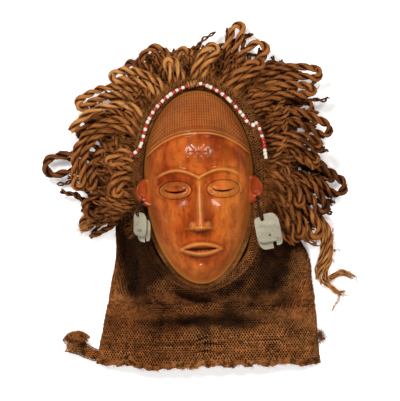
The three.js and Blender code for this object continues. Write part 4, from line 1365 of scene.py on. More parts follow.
def lock_middle(lock, share):
    """Middle line of a lock in plan: straight out of the hood at first, then turning towards its tip."""
    _, root, tip, reach, _, bulge, _ = lock
    share = np.asarray(share, float)
    angle = np.radians(root + (tip - root) * np.maximum(0, share) ** 1.5)
    start = hood_reach(math.radians(root)) - LOCK_ROOT_DEPTH
    out = mix(start, reach, share) + bulge * np.sin(math.pi * share)
    return np.stack(round_hood(angle, out), -1)


def lock_line(lock):
    """Path of a lock's cord: out, round its tip and back, or straight out to a cut end."""
    tier, _, _, _, width, _, cut = lock
    if cut:
        plan = lock_middle(lock, np.linspace(0, 1, 24))
    else:
        half = width / 2
        turn_start = 1 - (half + CORD_RADIUS) / np.linalg.norm(lock_middle(lock, 1) - lock_middle(lock, 0))
        part = np.linspace(0, 1, 22)[:, None]
        share = part[:, 0] * turn_start
        ahead = unit(lock_middle(lock, share + 0.01) - lock_middle(lock, share - 0.01))
        aside = np.column_stack([-ahead[:, 1], ahead[:, 0]])
        spread = mix(min(half, 5), half, smooth(0.2, 1, part))
        there = lock_middle(lock, share) + aside * spread
        back = lock_middle(lock, share) - aside * spread
        a = np.linspace(0, math.pi, 12)[1:-1, None]
        turn = there[-1] * 0.5 + back[-1] * 0.5 + half * (np.cos(a) * aside[-1] + np.sin(a) * ahead[-1])
        plan = np.vstack([there, turn, back[::-1]])
    height = tier_height(tier, plan[:, 0], plan[:, 1])
    return np.column_stack([plan, height])


WIG = Sizes(orbit=2.35, ply=2.7, sides=6, step=2.0, wander=2.4, stray_gap=1.5)


def cord_spots(line, seed, gap, out_by, slant):
    """Places on the skin of a cord for loose fibres, with their outward and lengthwise directions."""
    rng = np.random.default_rng(seed)
    path = spaced(line, gap)
    across, over = frames_along(path)
    a = rng.uniform(0, TURN, len(path))[:, None]
    out = np.cos(a) * across + np.sin(a) * over
    along = np.cross(across, over) * rng.choice((-1, 1), len(path))[:, None]
    lay = unit(along + slant * rng.normal(0, 1, (len(path), 3)))
    return path + out * out_by, out, lay


def wander(line, size, amount, seed):
    """The same path, strayed a little from its course but not at its start."""
    steps = lengths_along(line)
    free = smooth(0, 30, steps)[:, None]
    stray = np.column_stack([lumps(line, size, seed + k * 3.1) for k in range(3)])
    return line + stray * free * amount * (1, 1, 0.8)


def wig_lock(number, lock, kit):
    """One looped cord of the wig, twisted from two plies, with its loose fibres."""
    line = spaced(lock_line(lock), WIG.step)
    line = wander(line, 45, WIG.wander, number)
    line[:, 2] = np.maximum(line[:, 2], WIG.orbit + WIG.ply + 0.5)
    rng = np.random.default_rng(number)
    thick = 1 + 0.26 * lumps(line, 12, number + 0.5) + 0.2 * lumps(line, 5, number + 0.7)
    piece = put_paths(f"lock_{number:02d}", [line], [thick])
    pitch = kit.cord["Pitch"] * rng.uniform(0.8, 1.25)
    grow(piece, kit.cords, **{**kit.cord, "Pitch": pitch}, Seed=number, Phase=float(rng.uniform(0, TURN)))
    merge(piece, stray_piece("strays", cord_spots(line, number, WIG.stray_gap, 3.6, 0.35), kit, number))
    # Tint: a random tone of its own, plus painted shade that leaves the lower tiers darker, and lighter
    # round the crown
    return tint(piece, rng.uniform(-0.3, 0.4) + 0.1 * lock[0] + 0.5 * bell(lock[1] - 95, 38))


def stray_piece(name, spots, kit, seed, **changes):
    """Loose fibres, one at each spot."""
    rng = np.random.default_rng(seed)
    piece = put_spots(name, *spots, rng.uniform(0.5, 1.2, len(spots[0])))
    paint(piece, "outer", np.ones(len(spots[0])))
    return grow(piece, kit.fibres, **{**kit.fibre, **changes})


def cord_tree():
    """Twisted plies along each path."""
    nodes, get = new_generator("twisted_cord", ["Orbit", "Ply Radius", "Pitch", "Phase"],
                               ["Plies", "Sides", "Seed"])
    curve = nodes.out("GeometryNodeMeshToCurve", {"Mesh": get["Geometry"]})
    length = nodes.out("GeometryNodeSplineParameter", output="Length")
    curve = nodes.store(curve, "along", length)
    curve = nodes.store(curve, "middle", nodes.out("GeometryNodeInputPosition"), "FLOAT_VECTOR")
    copies = {"Geometry": curve, "Amount": get["Plies"]}
    plies = nodes.add("GeometryNodeDuplicateElements", copies, domain="SPLINE")
    split = nodes.maths("DIVIDE", nodes.times(plies.outputs["Duplicate Index"], TURN), get["Plies"])
    turned = nodes.maths("DIVIDE", nodes.times(length, TURN), get["Pitch"])
    angle = nodes.plus(nodes.plus(split, turned), get["Phase"])
    normal = nodes.out("GeometryNodeInputNormal")
    beside = nodes.vector("CROSS_PRODUCT", nodes.out("GeometryNodeInputTangent"), normal)
    across = nodes.scaled(normal, nodes.times(nodes.maths("COSINE", angle), get["Orbit"]))
    over = nodes.scaled(beside, nodes.times(nodes.maths("SINE", angle), get["Orbit"]))
    tone = nodes.out("FunctionNodeRandomValue", {"Seed": get["Seed"]}, data_type="FLOAT")
    plied = nodes.store(plies.outputs["Geometry"], "tone", tone, domain="CURVE")
    orbit = nodes.vector("ADD", across, over)
    plied = nodes.out("GeometryNodeSetPosition", {"Geometry": plied, "Offset": orbit})
    section = {"Resolution": get["Sides"], "Radius": get["Ply Radius"]}
    ring = nodes.out("GeometryNodeCurvePrimitiveCircle", section)
    around = nodes.vector("NORMALIZE", nodes.out("GeometryNodeInputPosition"))
    ring = nodes.store(ring, "around", around, "FLOAT_VECTOR")
    thick = nodes.named("thick")
    cord = nodes.out("GeometryNodeCurveToMesh",
                     {"Curve": plied, "Profile Curve": ring, "Scale": thick, "Fill Caps": True})
    # Each ply is a bundle of fibres, so its skin has ridges along it
    along, shift = nodes.times(nodes.named("along"), 60.0), nodes.times(nodes.named("tone"), 90.0)
    far = nodes.combined(Z=nodes.plus(along, shift))
    spot = nodes.vector("ADD", nodes.named("around", "FLOAT_VECTOR"), far)
    bundle = nodes.out("ShaderNodeTexNoise", {"Vector": spot, "Scale": 1.6, "Detail": 1.0})
    ridge = nodes.times(nodes.maths("SUBTRACT", bundle, 0.5), nodes.times(get["Ply Radius"], 0.9))
    offset = nodes.scaled(nodes.out("GeometryNodeInputNormal"), ridge)
    cord = nodes.out("GeometryNodeSetPosition", {"Geometry": cord, "Offset": offset})
    # How far out from the cord's middle each point stands: the creases between the plies are low
    ends = {0: nodes.out("GeometryNodeInputPosition"), 1: nodes.named("middle", "FLOAT_VECTOR")}
    reach = nodes.out("ShaderNodeVectorMath", ends, output="Value", operation="DISTANCE")
    full = nodes.times(nodes.plus(get["Orbit"], get["Ply Radius"]), thick)
    cord = nodes.store(cord, "outer", nodes.maths("DIVIDE", reach, full))
    return end_generator(nodes, cord, get["Material"])


def fibre_tree():
    """One thin curved fibre on each point."""
    nodes, get = new_generator("loose_fibres", ["Length", "Rise", "Thickness"])
    line, share = thin_line(nodes, End=nodes.combined(X=get["Length"]))
    swing = nodes.maths("SINE", nodes.times(share, 4.2))
    aside = nodes.times(swing, nodes.times(get["Rise"], 0.6))
    above = nodes.times(nodes.maths("POWER", share, 1.6), get["Rise"])
    thin = nodes.maths("SUBTRACT", 1.15, share)
    return on_spots(nodes, get, thin_strand(nodes, get, line, nodes.combined(Y=aside, Z=above), Scale=thin))


def frizz_spots(count, seed, angle_range, tiers, depth, slant):
    """Loose fibres at the roots of the wig, pointing outwards."""
    rng = np.random.default_rng(seed)
    a = np.radians(rng.uniform(*angle_range, count))
    reach = hood_reach(a) + rng.uniform(*depth, count)
    height = rng.uniform(*tiers, count)
    places = np.column_stack([*round_hood(a, reach), height])
    lays = np.column_stack([np.cos(a), np.sin(a), rng.normal(0, 0.4, count)])
    lays = unit(lays + slant * rng.normal(0, 1, (count, 3)))
    outs = unit(np.cross(lays, rng.normal(0, 1, (count, 3))))
    return places, outs, lays


ROOTS = Sizes(first=-32, last=203, near=9, margin=9, shortest=14, mat_margin=18, mat_width=18, mat_low=5,
              mat_high=46)


def wig_edge(angle):
    """How far the longest lock near an angle reaches from the hood's middle."""
    tips = [lock[3] for lock in LOCKS if abs(lock[2] - math.degrees(angle)) < ROOTS.near]
    return max(tips, default=hood_reach(angle) + ROOTS.shortest)


def root_strands(name, count, kit, seed, heights, reach, thin, tone):
    """Twisted strands that fill the wig between its locks, from the hood outwards."""
    rng = np.random.default_rng(seed)
    lines, thick = [], []
    for _ in range(count):
        angle = math.radians(rng.uniform(ROOTS.first, ROOTS.last))
        turn = math.radians(rng.normal(0, 7))
        start = hood_reach(angle) - 10
        length = min(rng.uniform(*reach), max(12, wig_edge(angle + turn) - ROOTS.margin - start))
        out = np.arange(0, length, 2.6)
        along = out / out[-1]
        a = angle + turn * along**1.5
        height = rng.uniform(*heights) - 8 * along**2
        line = np.column_stack([*round_hood(a, start + out), height])
        stray = np.column_stack([lumps(line, 14, rng.uniform(0, 9)) for _ in range(3)])
        line += 5 * stray * smooth(0, 0.4, along)[:, None]
        line[:, 2] = np.maximum(line[:, 2], 4)
        lines.append(line)
        thick.append(rng.uniform(0.8, 1.3) * (1 - 0.4 * along**4))
    piece = put_paths(name, lines, thick)
    sized = {"Orbit": thin * 0.85 * MM, "Ply_Radius": thin * MM, "Pitch": thin * 10 * MM, "Sides": 5}
    grow(piece, kit.cords, **{**kit.cord, **sized}, Seed=seed, Phase=0.0)
    return tint(piece, tone)


def root_mat():
    """A dark lumpy mass between the hood and the locks, put where the roots lie in shade and tinted near
    black as painted shade.
    """
    angles = np.radians(np.linspace(ROOTS.first, ROOTS.last, 260))
    sides = 22
    middle = (ROOTS.mat_high + ROOTS.mat_low) / 2
    rings = []
    around = np.arange(sides) * TURN / sides
    for a in angles:
        ends = min(1, 12 * min(a - angles[0], angles[-1] - a) + 0.02)
        room = np.clip((wig_edge(a) - hood_reach(a) - ROOTS.mat_margin) / 2, 4, ROOTS.mat_width)
        out = hood_reach(a) + room * (0.6 + ends * np.cos(around))
        height = middle + (middle - ROOTS.mat_low) * ends * np.sin(around)
        rings.append(np.column_stack([*round_hood(a, out), height]))
    points = np.vstack(rings)
    centre = np.repeat([ring.mean(0) for ring in rings], sides, axis=0)
    swell = 1 + 0.22 * lumps(points, 13, 51) + 0.16 * lumps(points, 5, 52)
    shaped = centre + (points - centre) * swell[:, None]
    shaped[:, 2] = np.maximum(shaped[:, 2], 2)
    faces = grid_faces(len(angles), sides, wrap=True)[:, ::-1].tolist()
    last = (len(angles) - 1) * sides
    faces += [list(range(sides)), list(range(last, last + sides))[::-1]]
    piece = put("root_mat", shaped, faces)
    reach = np.hypot(shaped[:, 0] - HOOD.x, shaped[:, 1] - HOOD.y)
    arc = np.repeat(angles, sides) * 130
    paint(piece, "around", np.column_stack([arc / 4, shaped[:, 2] / 4, np.zeros(len(shaped))]))
    paint(piece, "along", reach * MM)
    paint(piece, "outer", np.ones(len(shaped)))
    # Tinted near black: painted shade
    return tint(piece, -0.8)


def on_hood_spots(count, seed, angle_range, depth, slant):
    """Loose fibres on top of the cloth near its edge, pointing outwards."""
    places, outs, lays = frizz_spots(count, seed, angle_range, (0, 1), depth, slant)
    places[:, 2] = cloth_height(places[:, 0], places[:, 1]) + 1
    return places, outs, lays


def band_spots(count, seed, angle_range, offsets):
    """Short fibres lying outwards on the rolled edge and the cloth beside it."""
    rng = np.random.default_rng(seed)
    angle = np.radians(rng.uniform(*angle_range, count))
    offset = rng.uniform(*offsets, count)
    x, y = outline(angle, offset)
    places = np.column_stack([x, y, roll_top(angle, offset) + 0.6])
    lays = np.column_stack([np.cos(angle), np.sin(angle), rng.normal(-0.1, 0.2, count)])
    lays = unit(lays + 0.35 * rng.normal(0, 1, (count, 3)))
    outs = unit(np.cross(lays, np.column_stack([-np.sin(angle), np.cos(angle), np.zeros(count)])))
    outs *= np.sign(outs[:, 2:])
    return places, outs, lays


# Frayed bundles: route with heights, radius and how many strands
BUNDLES = [
    ([(98, 30, 52), (113, 12, 44), (124, -10, 30), (121, -34, 17)], 6.0, 9),
    ([(104, -22, 30), (116, -40, 18), (134, -55, 10), (150, -60, 8)], 5.0, 7),
    ([(-86, 22, 52), (-98, 10, 42), (-101, -6, 26)], 5.5, 8),
    ([(-96, 4, 44), (-116, -16, 32), (-132, -34, 18), (-147, -47, 8)], 4.5, 8),
]
# Twigs and a loose thread of the trailing rope, in the same form
TWIGS = [
    ([(152, -48, 9), (156, -45, 9), (162, -43, 8)], 1.6, 3),
    ([(152, -72, 8), (158, -70, 8), (168, -66, 7)], 1.6, 3),
    ([(151, -77, 8), (157, -79, 8), (163, -82, 7)], 1.6, 3),
    ([(168, -119, 3.5), (167, -128, 2.5), (160, -141, 2)], 0.9, 1),
]
ROPE_SPREAD = 1.15


def frayed_bundle(number, kit):
    """A bundle of loosely turned strands, open at its end."""
    route, radius, count = BUNDLES[number]
    line = spaced(curve_through(route, 10), 2.2)
    return bundle(f"frayed_bundle_{number + 1}", line, radius, count, 300 + number, kit)


def bundle(name, line, radius, count, seed, kit, **changes):
    """Strands carried round a path, spreading towards its end, with loose fibres."""
    rng = np.random.default_rng(seed)
    share = np.linspace(0, 1, len(line))
    across, over = frames_along(line)
    lines, thick = [], []
    for k in range(count):
        angle = (TURN * k / count + 2.2 * share + rng.normal(0, 0.3))[:, None]
        orbit = (radius * rng.uniform(0.3, 0.95) * (1 + 0.3 * share**2))[:, None]
        strand = line + orbit * (np.cos(angle) * across + np.sin(angle) * over)
        strand = strand + 1.3 * np.column_stack([lumps(strand, 11, seed + k + j * 0.3) for j in range(3)])
        strand = strand[: int(len(strand) * rng.uniform(0.82, 1))]
        strand[:, 2] = np.maximum(strand[:, 2], 1.8)
        lines.append(strand)
        thick.append(rng.uniform(0.8, 1.3) * (1 - 0.6 * np.linspace(0, 1, len(strand)) ** 3))
    piece = put_paths(name, lines, thick)
    ply = radius * 0.25 * MM
    sized = {"Orbit": ply * 0.75, "Ply_Radius": ply, "Pitch": 0.03, "Sides": 5}
    grow(piece, kit.cords, **{**kit.cord, **sized}, Seed=seed, Phase=0.0)
    spots = cord_spots(line, seed, 0.6, radius * 0.7, 0.55)
    merge(piece, stray_piece("strays", spots, kit, seed + 1, **changes))
    return tint(piece, 0.8)


def rope_line(number):
    """Path of one of the trailing cords."""
    points, radius = TRAILING_CORDS[number]
    path = curve_through([(x, y, radius + 0.4) for x, y in points], 12)
    return spaced(path, WIG.step), radius


def trailing_rope(kit):
    """The rope at the right, frayed into two strands and loose fibres."""
    pieces = []
    for number, count in enumerate((14, 6, 6)):
        line, radius = rope_line(number)
        radius *= ROPE_SPREAD
        name = "trailing_rope" if number == 0 else f"rope_strand_{number}"
        pieces.append(bundle(name, line, radius, count, 60 + number, kit))
    short = 0.5 * kit.fibre["Length"]
    for number, (route, radius, count) in enumerate(TWIGS):
        line = spaced(curve_through(route, 8), WIG.step)
        pieces.append(bundle(f"twig_{number}", line, radius, count, 90 + number, kit, Length=short))
    merge(pieces[0], *pieces[1:])
    return tint(pieces[0], 1.1)


# Beads
def roll_top(angle, offset):
    """Top of the cloth beside the face, with its rolled edge."""
    x, y = outline(angle, offset)
    radius = roll_radius(angle)
    aside = offset - opening_offset(angle) - radius
    roll = roll_middle(angle)[..., 2] + np.sqrt(np.maximum(0, radius**2 - aside**2))
    return np.maximum(cloth_height(x, y), np.where(np.abs(aside) < radius, roll, 0))


def bead_line():
    """Path of the bead string, resting on the cloth over the brow."""
    route = curve_through(BEAD_ROUTE, 8)
    angle, offset = np.radians(route[:, 0]), route[:, 1]
    x, y = outline(angle, offset)
    under = np.maximum.reduce([roll_top(angle, offset + aside) for aside in (-4, -2, 0, 2)])
    return np.column_stack([x, y, under + BEAD.radius + BEAD.clearance])


def bead_tree():
    """A glass bead on each point: a short tube with rounded ends, drawn out along the string."""
    nodes, get = new_generator("glass_beads", ["Radius", "Bore", "Stretch"])
    middle = nodes.times(nodes.plus(get["Radius"], get["Bore"]), 0.5)
    wall = nodes.times(nodes.maths("SUBTRACT", get["Radius"], get["Bore"]), 0.5)
    ring = nodes.out("GeometryNodeCurvePrimitiveCircle", {"Resolution": 18, "Radius": middle})
    across = nodes.times(wall, 2)
    section = nodes.out("GeometryNodeCurvePrimitiveQuadrilateral", {"Width": across, "Height": across})
    rounded = {"Curve": section, "Count": 2, "Radius": nodes.times(wall, 0.62)}
    section = nodes.out("GeometryNodeFilletCurve", rounded, mode="POLY")
    bead = nodes.out("GeometryNodeCurveToMesh", {"Curve": ring, "Profile Curve": section})
    size = nodes.combined(X=1.0, Y=1.0, Z=get["Stretch"])
    return on_spots(nodes, get, nodes.out("GeometryNodeTransform", {"Geometry": bead, "Scale": size}))


def bead_places():
    """Middle, direction and colour of each bead: 0 white, 1 red."""
    path = spaced(bead_line(), 0.5)
    lengths = lengths_along(path)
    targets = (np.arange(BEAD.count) + 0.5) / BEAD.count * lengths[-1]
    pick = np.searchsorted(lengths, targets)
    along = unit(np.gradient(path, axis=0))[pick]
    red = np.array([letter == "R" for letter in BEAD_COLOURS[:BEAD.count]])
    return path[pick], along, red, lengths[-1] / BEAD.count


TIE = Sizes(share=0.475, length=13, radius=3.4, turns=7, ply=0.8)


def bead_tie(cords, material):
    """The bast knot that ties the string to the cloth over the brow."""
    path = spaced(bead_line(), 0.4)
    middle = int(TIE.share * len(path))
    part = path[middle - int(TIE.length / 0.8): middle + int(TIE.length / 0.8)]
    across, over = frames_along(part)
    a = np.linspace(0, TIE.turns * TURN, len(part))[:, None]
    swell = TIE.radius * (1 + 0.25 * np.sin(a * 0.37))
    line = part + swell * (np.cos(a) * across + np.sin(a) * over)
    piece = put_paths("bead_tie", [line], [np.ones(len(line))])
    ply = TIE.ply * MM
    grow(piece, cords, Plies=2, Orbit=ply, Ply_Radius=ply, Pitch=0.004, Sides=6, Phase=0.0, Seed=4,
         Material=material)
    return tint(piece, 1.6)


# Pendants
def quarter(corner, start, end, steps=6):
    """Points of a quadratic curve round a corner."""
    t = np.linspace(0, 1, steps + 1)[1:, None]
    start, corner, end = (np.array(p, float) for p in (start, corner, end))
    return (1 - t) ** 2 * start + 2 * t * (1 - t) * corner + t**2 * end


def plate_outline():
    """Rounded plate with a slot in its upper edge, anticlockwise."""
    w, h, c, drop = PLATE.width / 2, PLATE.height / 2, PLATE.corner, PLATE.top_drop
    slot_left, slot_right = PLATE.slot_x - PLATE.slot_width / 2, PLATE.slot_x + PLATE.slot_width / 2
    a = np.linspace(0, -math.pi, 9)[:, None]
    slot_end = (PLATE.slot_x, h - PLATE.slot_depth + PLATE.slot_width / 2)
    slot = np.array(slot_end) + PLATE.slot_width / 2 * np.hstack([np.cos(a), np.sin(a)])
    return np.vstack([
        [(-w, -h + c)],
        quarter((-w, -h), (-w, -h + c), (-w + c, -h)),
        [(w - c, -h)],
        quarter((w, -h), (w - c, -h), (w, -h + c)),
        [(w, h - c)],
        quarter((w - drop, h), (w, h - c), (w - c, h)),
        [(slot_right, h)],
        slot,
        [(slot_left, h - drop), (-w + c / 2, h - drop)],
        quarter((-w, h - drop), (-w + c / 2, h - drop), (-w, h - c)),
    ])


def on_plate(pendant, points):
    """From a plate's own place to the mask's."""
    lean, turn, roll = (math.radians(angle) for angle in (pendant.lean, pendant.turn, pendant.roll))
    x, y, z = (np.asarray(points, float) * (pendant.size, pendant.size, 1)).T
    x, y = x * math.cos(roll) - y * math.sin(roll), x * math.sin(roll) + y * math.cos(roll)
    x, z = x * math.cos(turn) + z * math.sin(turn), z * math.cos(turn) - x * math.sin(turn)
    y, z = y * math.cos(lean) - z * math.sin(lean), y * math.sin(lean) + z * math.cos(lean)
    return np.column_stack([x + pendant.x, y + pendant.y, z + pendant.z])


def pendant_plate(side, back):
    """One pale plate with softened edges, in front or behind."""
    pendant = PENDANTS[side]
    name = f"pendant_{side}_{'behind' if back else 'plate'}"
    piece = prism_piece(name, plate_outline(), 0, PLATE.thickness)
    soft = piece.modifiers.new("soft edge", "BEVEL")
    soft.width = PLATE.bevel * MM
    soft.segments = 3
    soft.limit_method = "ANGLE"
    apply_modifiers(piece)
    holes = [oval(PLATE.hole_x, PLATE.hole_y, PLATE.hole_radius, PLATE.hole_radius, 20)]
    if back:
        place = (BACK_PLATE.x - PLATE.slot_x, BACK_PLATE.y - PLATE.slot_y + LOOP.drop)
        holes.append(oval(*place, LOOP.radius * 3, LOOP.radius * 3, 28))
    for hole in holes:
        combine(piece, prism_piece("hole_blank", hole, -1, PLATE.thickness + 1), "DIFFERENCE")
    points = points_of(piece)
    if back:
        points = points * (-1, -1, 1) + (BACK_PLATE.x, BACK_PLATE.y, BACK_PLATE.z)
    move_points(piece, on_plate(pendant, points))
    finish_surface(piece, 40)
    return piece


def loop_line(side):
    """Cord loop through the lobe, the front plate's slot and the hole of the plate behind it."""
    pendant = PENDANTS[side]
    sign = math.copysign(1, pendant.x)
    hole_x, hole_y = face_plan(sign * LOBE_HOLE.x, LOBE_HOLE.y)
    behind = BACK_PLATE.z - LOOP.behind
    local = [
        (PLATE.slot_x, PLATE.slot_y + LOOP.rise, PLATE.thickness + LOOP.front),
        (PLATE.slot_x, PLATE.slot_y + LOOP.radius / 2, -LOOP.radius / 2),
        (PLATE.slot_x, PLATE.slot_y - LOOP.drop / 2, (BACK_PLATE.z + PLATE.thickness) / 2),
        (PLATE.slot_x, PLATE.slot_y - LOOP.drop, BACK_PLATE.z + PLATE.thickness / 2),
        (PLATE.slot_x, PLATE.slot_y - LOOP.drop + 3 * LOOP.radius, behind),
        (PLATE.slot_x, PLATE.slot_y + LOOP.rise + LOOP.radius, behind),
    ]
    above = [(hole_x, hole_y, EAR.z + up) for up in (EAR.thickness / 2, EAR.thickness + LOOP.above)]
    points = np.vstack([above, on_plate(pendant, local), [(hole_x, hole_y, EAR.z - LOOP.below)]])
    ring = np.vstack([points[-1], points, points[0], points[1]])
    steps = 16
    path = curve_through(ring, steps)
    return path[steps:-2 * steps]


def pendant_loop(side, cords, settings):
    """The twisted cord of one pendant."""
    line = spaced(loop_line(side), 0.6)
    piece = put_paths(f"pendant_{side}_loop", [line], [np.ones(len(line))])
    grow(piece, cords, **settings)
    return tint(piece, 0.5)


# Materials
def plain(colour):
    """A property colour as a plain tuple with alpha."""
    return (*tuple(colour)[:3], 1)


def dimmed(colour, share):
    return tuple(c * share for c in colour)


def wood_material(colours):
    """Polished wood: bright on the ridges, dark in the cuts, duller on the coiffure, with mottled blotches
    and painted shade towards the outer edge and on the ears.
    """
    material, nodes, shader = new_material("carved_wood", Specular_Ior_Level=0.02, Coat_Weight=0.85,
                                           Coat_Roughness=0.13, Coat_Ior=1.3)
    place = nodes.place()
    patches = nodes.grain(place, 22, 6, (1, 0.8, 1))
    streaks = nodes.grain(place, 70, 5, (1.7, 0.5, 1))
    base = nodes.ramp(patches, [(0.36, colours.wood_dark), (0.48, colours.wood), (0.6, colours.wood_light)])
    specks = nodes.grain(place, 160, 4, (1, 0.7, 1))
    base = nodes.mottled(0.55, base, specks, [(0.36, (0.5, 0.38, 0.3)), (0.46, WHITE)])
    base = nodes.mottled(0.6, base, streaks, [(0.36, (0.42, 0.3, 0.24)), (0.56, WHITE)])
    dull = nodes.blend(0.7, base, plain(colours.coiffure))
    cut = nodes.plus(nodes.times(nodes.attribute("coiffure"), 0.35), 0.42)
    # The coiffure, the painted edge shade with mottled blotches, worn ridges, dark cuts and the inside
    layers = [
        ("coiffure", 0.9, dull),
        ("blotches_and_edge_shade", 0.75, plain(colours.wood_dark)),
        ("ridge", 0.7, plain(colours.wood_ridge)),
        ("recess", cut, plain(colours.wood_cut)),
        ("inside", 1.0, plain(colours.wood_inside)),
    ]
    for name, share, colour in layers:
        base = nodes.blend(nodes.times(nodes.attribute(name), share), base, colour)
    nodes.link(base, shader, "Base Color")
    rough = nodes.plus(nodes.times(nodes.attribute("coiffure"), 0.16),
                        nodes.plus(nodes.times(streaks, 0.2), 0.22))
    nodes.link(rough, shader, "Roughness")
    fine = nodes.grain(place, 420, 4, (2, 0.4, 1))
    raise_surface(nodes, shader, fine, 0.00035, 0.5)
    return material


def cloth_material(colours):
    """The dark ground of the cloth, seen through its stitches: its near-black colour is painted shade for
    the dark seen through the holes of the netting.
    """
    material, nodes, shader = new_material("cloth_ground", Roughness=0.95, Specular_Ior_Level=0.05)
    place = nodes.place()
    patches = nodes.grain(place, 24, 4)
    base = nodes.ramp(patches, [(0.35, dimmed(colours.cloth, 0.45)), (0.65, colours.cloth)])
    # Painted shade and dirt of the cloth, darkening it to near black
    base = nodes.blend(nodes.times(nodes.attribute("soiled"), 0.8), base, (0.004, 0.002, 0.001, 1))
    nodes.link(base, shader, "Base Color")
    raise_surface(nodes, shader, nodes.grain(place, 700, 3), 0.0006, 0.8)
    return material


def strand_material(colours):
    """The looped strands of the netting: each stitch has its own tone, the cloth has stains, and the strands
    are painted darker with the cloth's painted shade and dirt.
    """
    material, nodes, shader = new_material("netted_strand", Roughness=0.85, Specular_Ior_Level=0.04)
    place = nodes.place()
    stitch = nodes.ramp(nodes.attribute("tone"), [(0.0, dimmed(colours.strand, 0.5)), (0.4, colours.strand),
                                                  (0.8, dimmed(colours.strand, 1.2)),
                                                  (1.0, dimmed(colours.strand, 1.7))])
    stains = [(0.34, (0.36, 0.27, 0.22)), (0.48, (0.85, 0.7, 0.62)), (0.56, WHITE), (0.7, (1.25, 1.15, 1.1))]
    base = nodes.mottled(0.8, stitch, nodes.grain(place, 15, 5), stains)
    # Painted shade and dirt of the cloth, darkening the strands
    base = nodes.blend(nodes.times(nodes.attribute("soiled"), 0.93), base, plain(colours.strand_soiled))
    nodes.link(base, shader, "Base Color")
    raise_surface(nodes, shader, nodes.grain(place, 1500, 2), 0.0003, 0.7)
    return material


def bast_material(colours):
    """Bast fibre: streaked along each ply, with painted shade in the creases between the plies and, through
    each piece's tint, on the dark mass at the roots.
    """
    material, nodes, shader = new_material("bast_fibre", Roughness=0.65, Specular_Ior_Level=0.06)
    place = nodes.place()
    around = nodes.attribute("around", "Vector")
    along = nodes.times(nodes.attribute("along"), 90.0)
    shift = nodes.times(nodes.attribute("tone"), 50.0)
    far = nodes.out("ShaderNodeCombineXYZ", {"Z": nodes.plus(along, shift)})
    fibres = nodes.out("ShaderNodeTexNoise", {"Vector": nodes.vector("ADD", nodes.scaled(around, 3.2), far),
                                              "Scale": 1.6, "Detail": 5})
    patches = nodes.grain(place, 34, 3)
    value = nodes.plus(nodes.times(fibres, 0.65), nodes.times(patches, 0.35))
    # Each piece's tint: its own tone, or painted shade for pieces that lie low or in the shade of the roots
    value = nodes.plus(value, nodes.times(nodes.attribute("tint"), 0.22))
    tones = (colours.cord_dark, colours.cord_mid, colours.cord_light, colours.cord_pale)
    base = nodes.ramp(value, list(zip((0.42, 0.54, 0.66, 0.78), tones)))
    # Painted shade: darker where a point lies low between the plies
    crease_shade = [(0.5, (0.1, 0.06, 0.04)), (0.7, (0.6, 0.48, 0.4)), (0.86, WHITE)]
    base = nodes.mottled(1.0, base, nodes.attribute("outer"), crease_shade)
    nodes.link(base, shader, "Base Color")
    raise_surface(nodes, shader, fibres, 0.0009, 0.8)
    return material


def bead_material(colours):
    material, nodes, shader = new_material("bead_glass", Roughness=0.28, Coat_Weight=0.4)
    place = nodes.place()
    base = nodes.blend(nodes.attribute("red"), plain(colours.bead_white), plain(colours.bead_red))
    base = nodes.mottled(0.6, base, nodes.grain(place, 300, 3), [(0.35, (0.7, 0.62, 0.55)), (0.6, WHITE)])
    nodes.link(base, shader, "Base Color")
    return material


def plate_material(colours):
    """Pale plate with faint growth bands and small stains."""
    material, nodes, shader = new_material("plate_surface", Roughness=0.4, Specular_Ior_Level=0.3,
                                           Coat_Weight=0.2)
    place = nodes.place()
    bands = nodes.grain(place, 60, 3, (0.6, 1.6, 1))
    base = nodes.ramp(bands, [(0.3, dimmed(colours.plate, 0.72)), (0.6, colours.plate)])
    base = nodes.mottled(0.8, base, nodes.grain(place, 220, 4), [(0.28, (0.45, 0.36, 0.26)), (0.42, WHITE)])
    nodes.link(base, shader, "Base Color")
    raise_surface(nodes, shader, bands, 0.0004, 0.4)
    return material


def pendant_cord_material(colours):
    material, nodes, shader = new_material("dark_cord", Roughness=0.85, Specular_Ior_Level=0.1)
    shader.inputs["Base Color"].default_value = plain(colours.pendant_cord)
    place = nodes.place()
    raise_surface(nodes, shader, nodes.grain(place, 900, 2), 0.0004, 0.7)
    return material


def material_named(name, maker):
    """The material of that name, made the first time it is asked for."""
    return bpy.data.materials.get(name) or maker(bpy.context.scene.mask_colours)


# Sizes and colours that a user would change
def colour_property(label, default):
    return bpy.props.FloatVectorProperty(name=label, description=f"{label}, as a linear colour",
                                         default=default, size=3, min=0, max=1, subtype="COLOR")


def length_property(label, description, default):
    return bpy.props.FloatProperty(name=label, description=description, default=default, min=0,
                                   unit="LENGTH", subtype="DISTANCE", precision=5)


class MaskSizes(bpy.types.PropertyGroup):
    """Sizes of the fibres, stitches and beads"""

    strand: length_property("Strand", "Half the thickness of a strand of the netting", 0.00053)
    fray_length: length_property("Fray length", "Length of a frayed end of the netting", 0.006)
    stitch_lift: length_property("Stitch lift", "How far a stitch arches off the cloth", 0.0009)
    ply: length_property("Ply", "Half the thickness of one ply of a wig cord", 0.0027)
    ply_orbit: length_property("Ply orbit", "Distance of a ply from the middle of its cord", 0.00235)
    twist: length_property("Twist", "Length of one whole turn of a wig cord", 0.033)
    stray_length: length_property("Stray length", "Length of a loose fibre on the wig", 0.011)
    stray_rise: length_property("Stray rise", "How far a loose fibre stands off its cord", 0.0016)
    stray: length_property("Stray", "Half the thickness of a loose fibre", 0.0003)
    thread: length_property("Thread", "Half the thickness of the bead thread", 0.00045)
    plies: bpy.props.IntProperty(name="Plies", description="Plies twisted into each wig cord",
                                 default=2, min=1, max=5)


